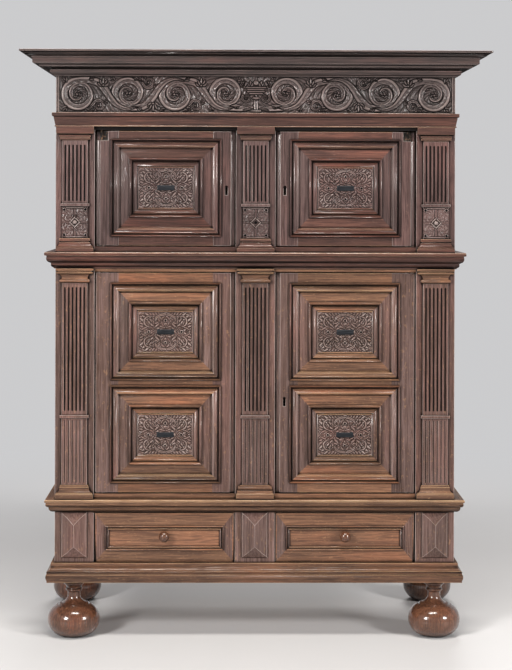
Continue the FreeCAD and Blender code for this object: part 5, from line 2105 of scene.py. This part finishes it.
@dataclass
class Cupboard:
    """The whole cupboard, its dressed joinery and its carved pieces, in metres.

    The frame is what the frame loader returned. The foremost band of a pilaster lies before the
    face of its flutes by pilaster_band.
    """

    frame: dict
    frieze_border: float = 11.0 * MM
    frieze_rim: float = 2.0 * MM
    frieze_depth: float = 8.4 * MM
    panel_width: float = 193.0 * MM
    panel_height: float = 143.5 * MM
    block_width: float = 92.0 * MM
    block_thickness: float = 5.0 * MM
    block_boss: float = 6.0 * MM
    pilaster_band: float = 6.0 * MM
    flute_depth: float = 3.2 * MM
    materials: dict[str, Material] = field(default_factory=dict)

    def finishes(self) -> None:
        """Builds one material for each slot."""
        self.materials = {slot: finish.material() for slot, finish in FINISHES.items()}

    def joinery(self) -> None:
        """Dresses every node except the ones that are carved anew."""
        slots = {row["node"]: row["material_slot"] for row in self.frame["record"]["subparts"]}
        for body, nodes in self.frame["record"]["behaviour"]["bodies"].items():
            for node in nodes:
                if node == "carved_blocks":
                    continue
                piece = Joinery(node, body, slots[node], ease_of(node))
                if slots[node] == "turned_oak":
                    piece.ease = 0.0
                    piece.crease_degrees = TURNED_CREASE_DEGREES
                piece.straight_only = node.endswith(("panels", "front"))
                piece.top_tone = TOP_TONES.get(node, 1.0)
                if node.endswith("shafts"):
                    piece.flutes = self.flutes()
                if node == "frieze_boards":
                    piece.recess = self.frieze_recess()
                    # The frieze boards under the architrave are painted black as the architrave's shadow
                    piece.grime_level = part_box("architrave_mould")[0].z
                piece.build(self.frame["nodes"][node], self.materials)

    def flutes(self) -> tuple[float, float]:
        """Depths at which the pilasters' flutes start and end."""
        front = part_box("upper_pilaster_shafts")[0].y + self.pilaster_band
        return front, front + self.flute_depth

    def frieze_recess(self) -> Recess:
        """The sunk field of the frieze between the architrave and the bed moulding.

        Returns:
            The field.
        """
        low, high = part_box("frieze_boards")
        _, architrave_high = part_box("architrave_mould")
        return Recess(Vector((low.x + self.frieze_border, low.y, architrave_high.z + self.frieze_rim)),
                      Vector((high.x - self.frieze_border, low.y, high.z - self.frieze_rim)),
                      self.frieze_depth)

    def frieze(self) -> None:
        """Sets the two carved halves of the frieze into their recess."""
        recess = self.frieze_recess()
        length = recess.high.x - recess.low.x
        height = recess.high.z - recess.low.z
        carving = FriezeCarving(length / MM, height / MM)
        for side, half in zip((-1, 1), carving.halves()):
            centre = Vector((side * length / 4, recess.low.y + recess.depth,
                             (recess.low.z + recess.high.z) / 2))
            piece = half.build("frieze_carving_" + ("left" if side < 0 else "right"), centre, "frieze")
            finish_piece(piece, "carcase", "frieze_oak", self.materials)

    def panels(self) -> None:
        """Sets a carved field round the bar of each door panel."""
        one_bar_low, one_bar_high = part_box("upper_left_door_ebony_bars")
        half_bar = (one_bar_high.z - one_bar_low.z) / 2
        for door in ("upper_left_door", "upper_right_door", "lower_left_door", "lower_right_door"):
            slot = "upper_oak" if door.startswith("upper") else "lower_oak"
            panel_low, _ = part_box(door + "_panels")
            bar_low, bar_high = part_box(door + "_ebony_bars")
            levels = sorted({round(bar_low.z + half_bar, 4), round(bar_high.z - half_bar, 4)})
            for i, level in enumerate(levels):
                carved = PanelCarving(self.panel_width / MM, self.panel_height / MM).field()
                centre = Vector(((bar_low.x + bar_high.x) / 2, panel_low.y, level))
                piece = carved.build("%s_carving_%d" % (door, i + 1), centre, door + str(i))
                finish_piece(piece, door, slot, self.materials)

    def blocks(self) -> None:
        """Carves the three square blocks anew."""
        low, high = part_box("carved_blocks")
        outer = high.x - self.block_width / 2
        pieces = []
        for i, x in enumerate((-outer, 0.0, outer)):
            carving = BlockCarving(self.block_width / MM, (high.z - low.z) / MM, self.block_thickness / MM,
                                   self.block_boss / MM).field(i != 1)
            centre = Vector((x, high.y, (low.z + high.z) / 2))
            pieces.append(carving.build("carved_block_%d" % (i + 1), centre, "block%d" % i))
        for piece in pieces:
            finish_piece(piece, "carcase", "upper_oak", self.materials, ("carved_blocks",))


def main() -> None:
    """Loads the frame, dresses the cupboard, lights it and sets the camera."""
    logging.basicConfig(level=logging.INFO, format="%(message)s")
    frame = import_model()
    bpy.context.scene.view_settings.view_transform = "Standard"
    studio = Studio()
    studio.camera(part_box("base_front_frame")[0].y)
    studio.lights()
    studio.floor()
    cupboard = Cupboard(frame)
    cupboard.finishes()
    cupboard.joinery()
    cupboard.frieze()
    cupboard.panels()
    cupboard.blocks()


if __name__ == "__main__":
    main()
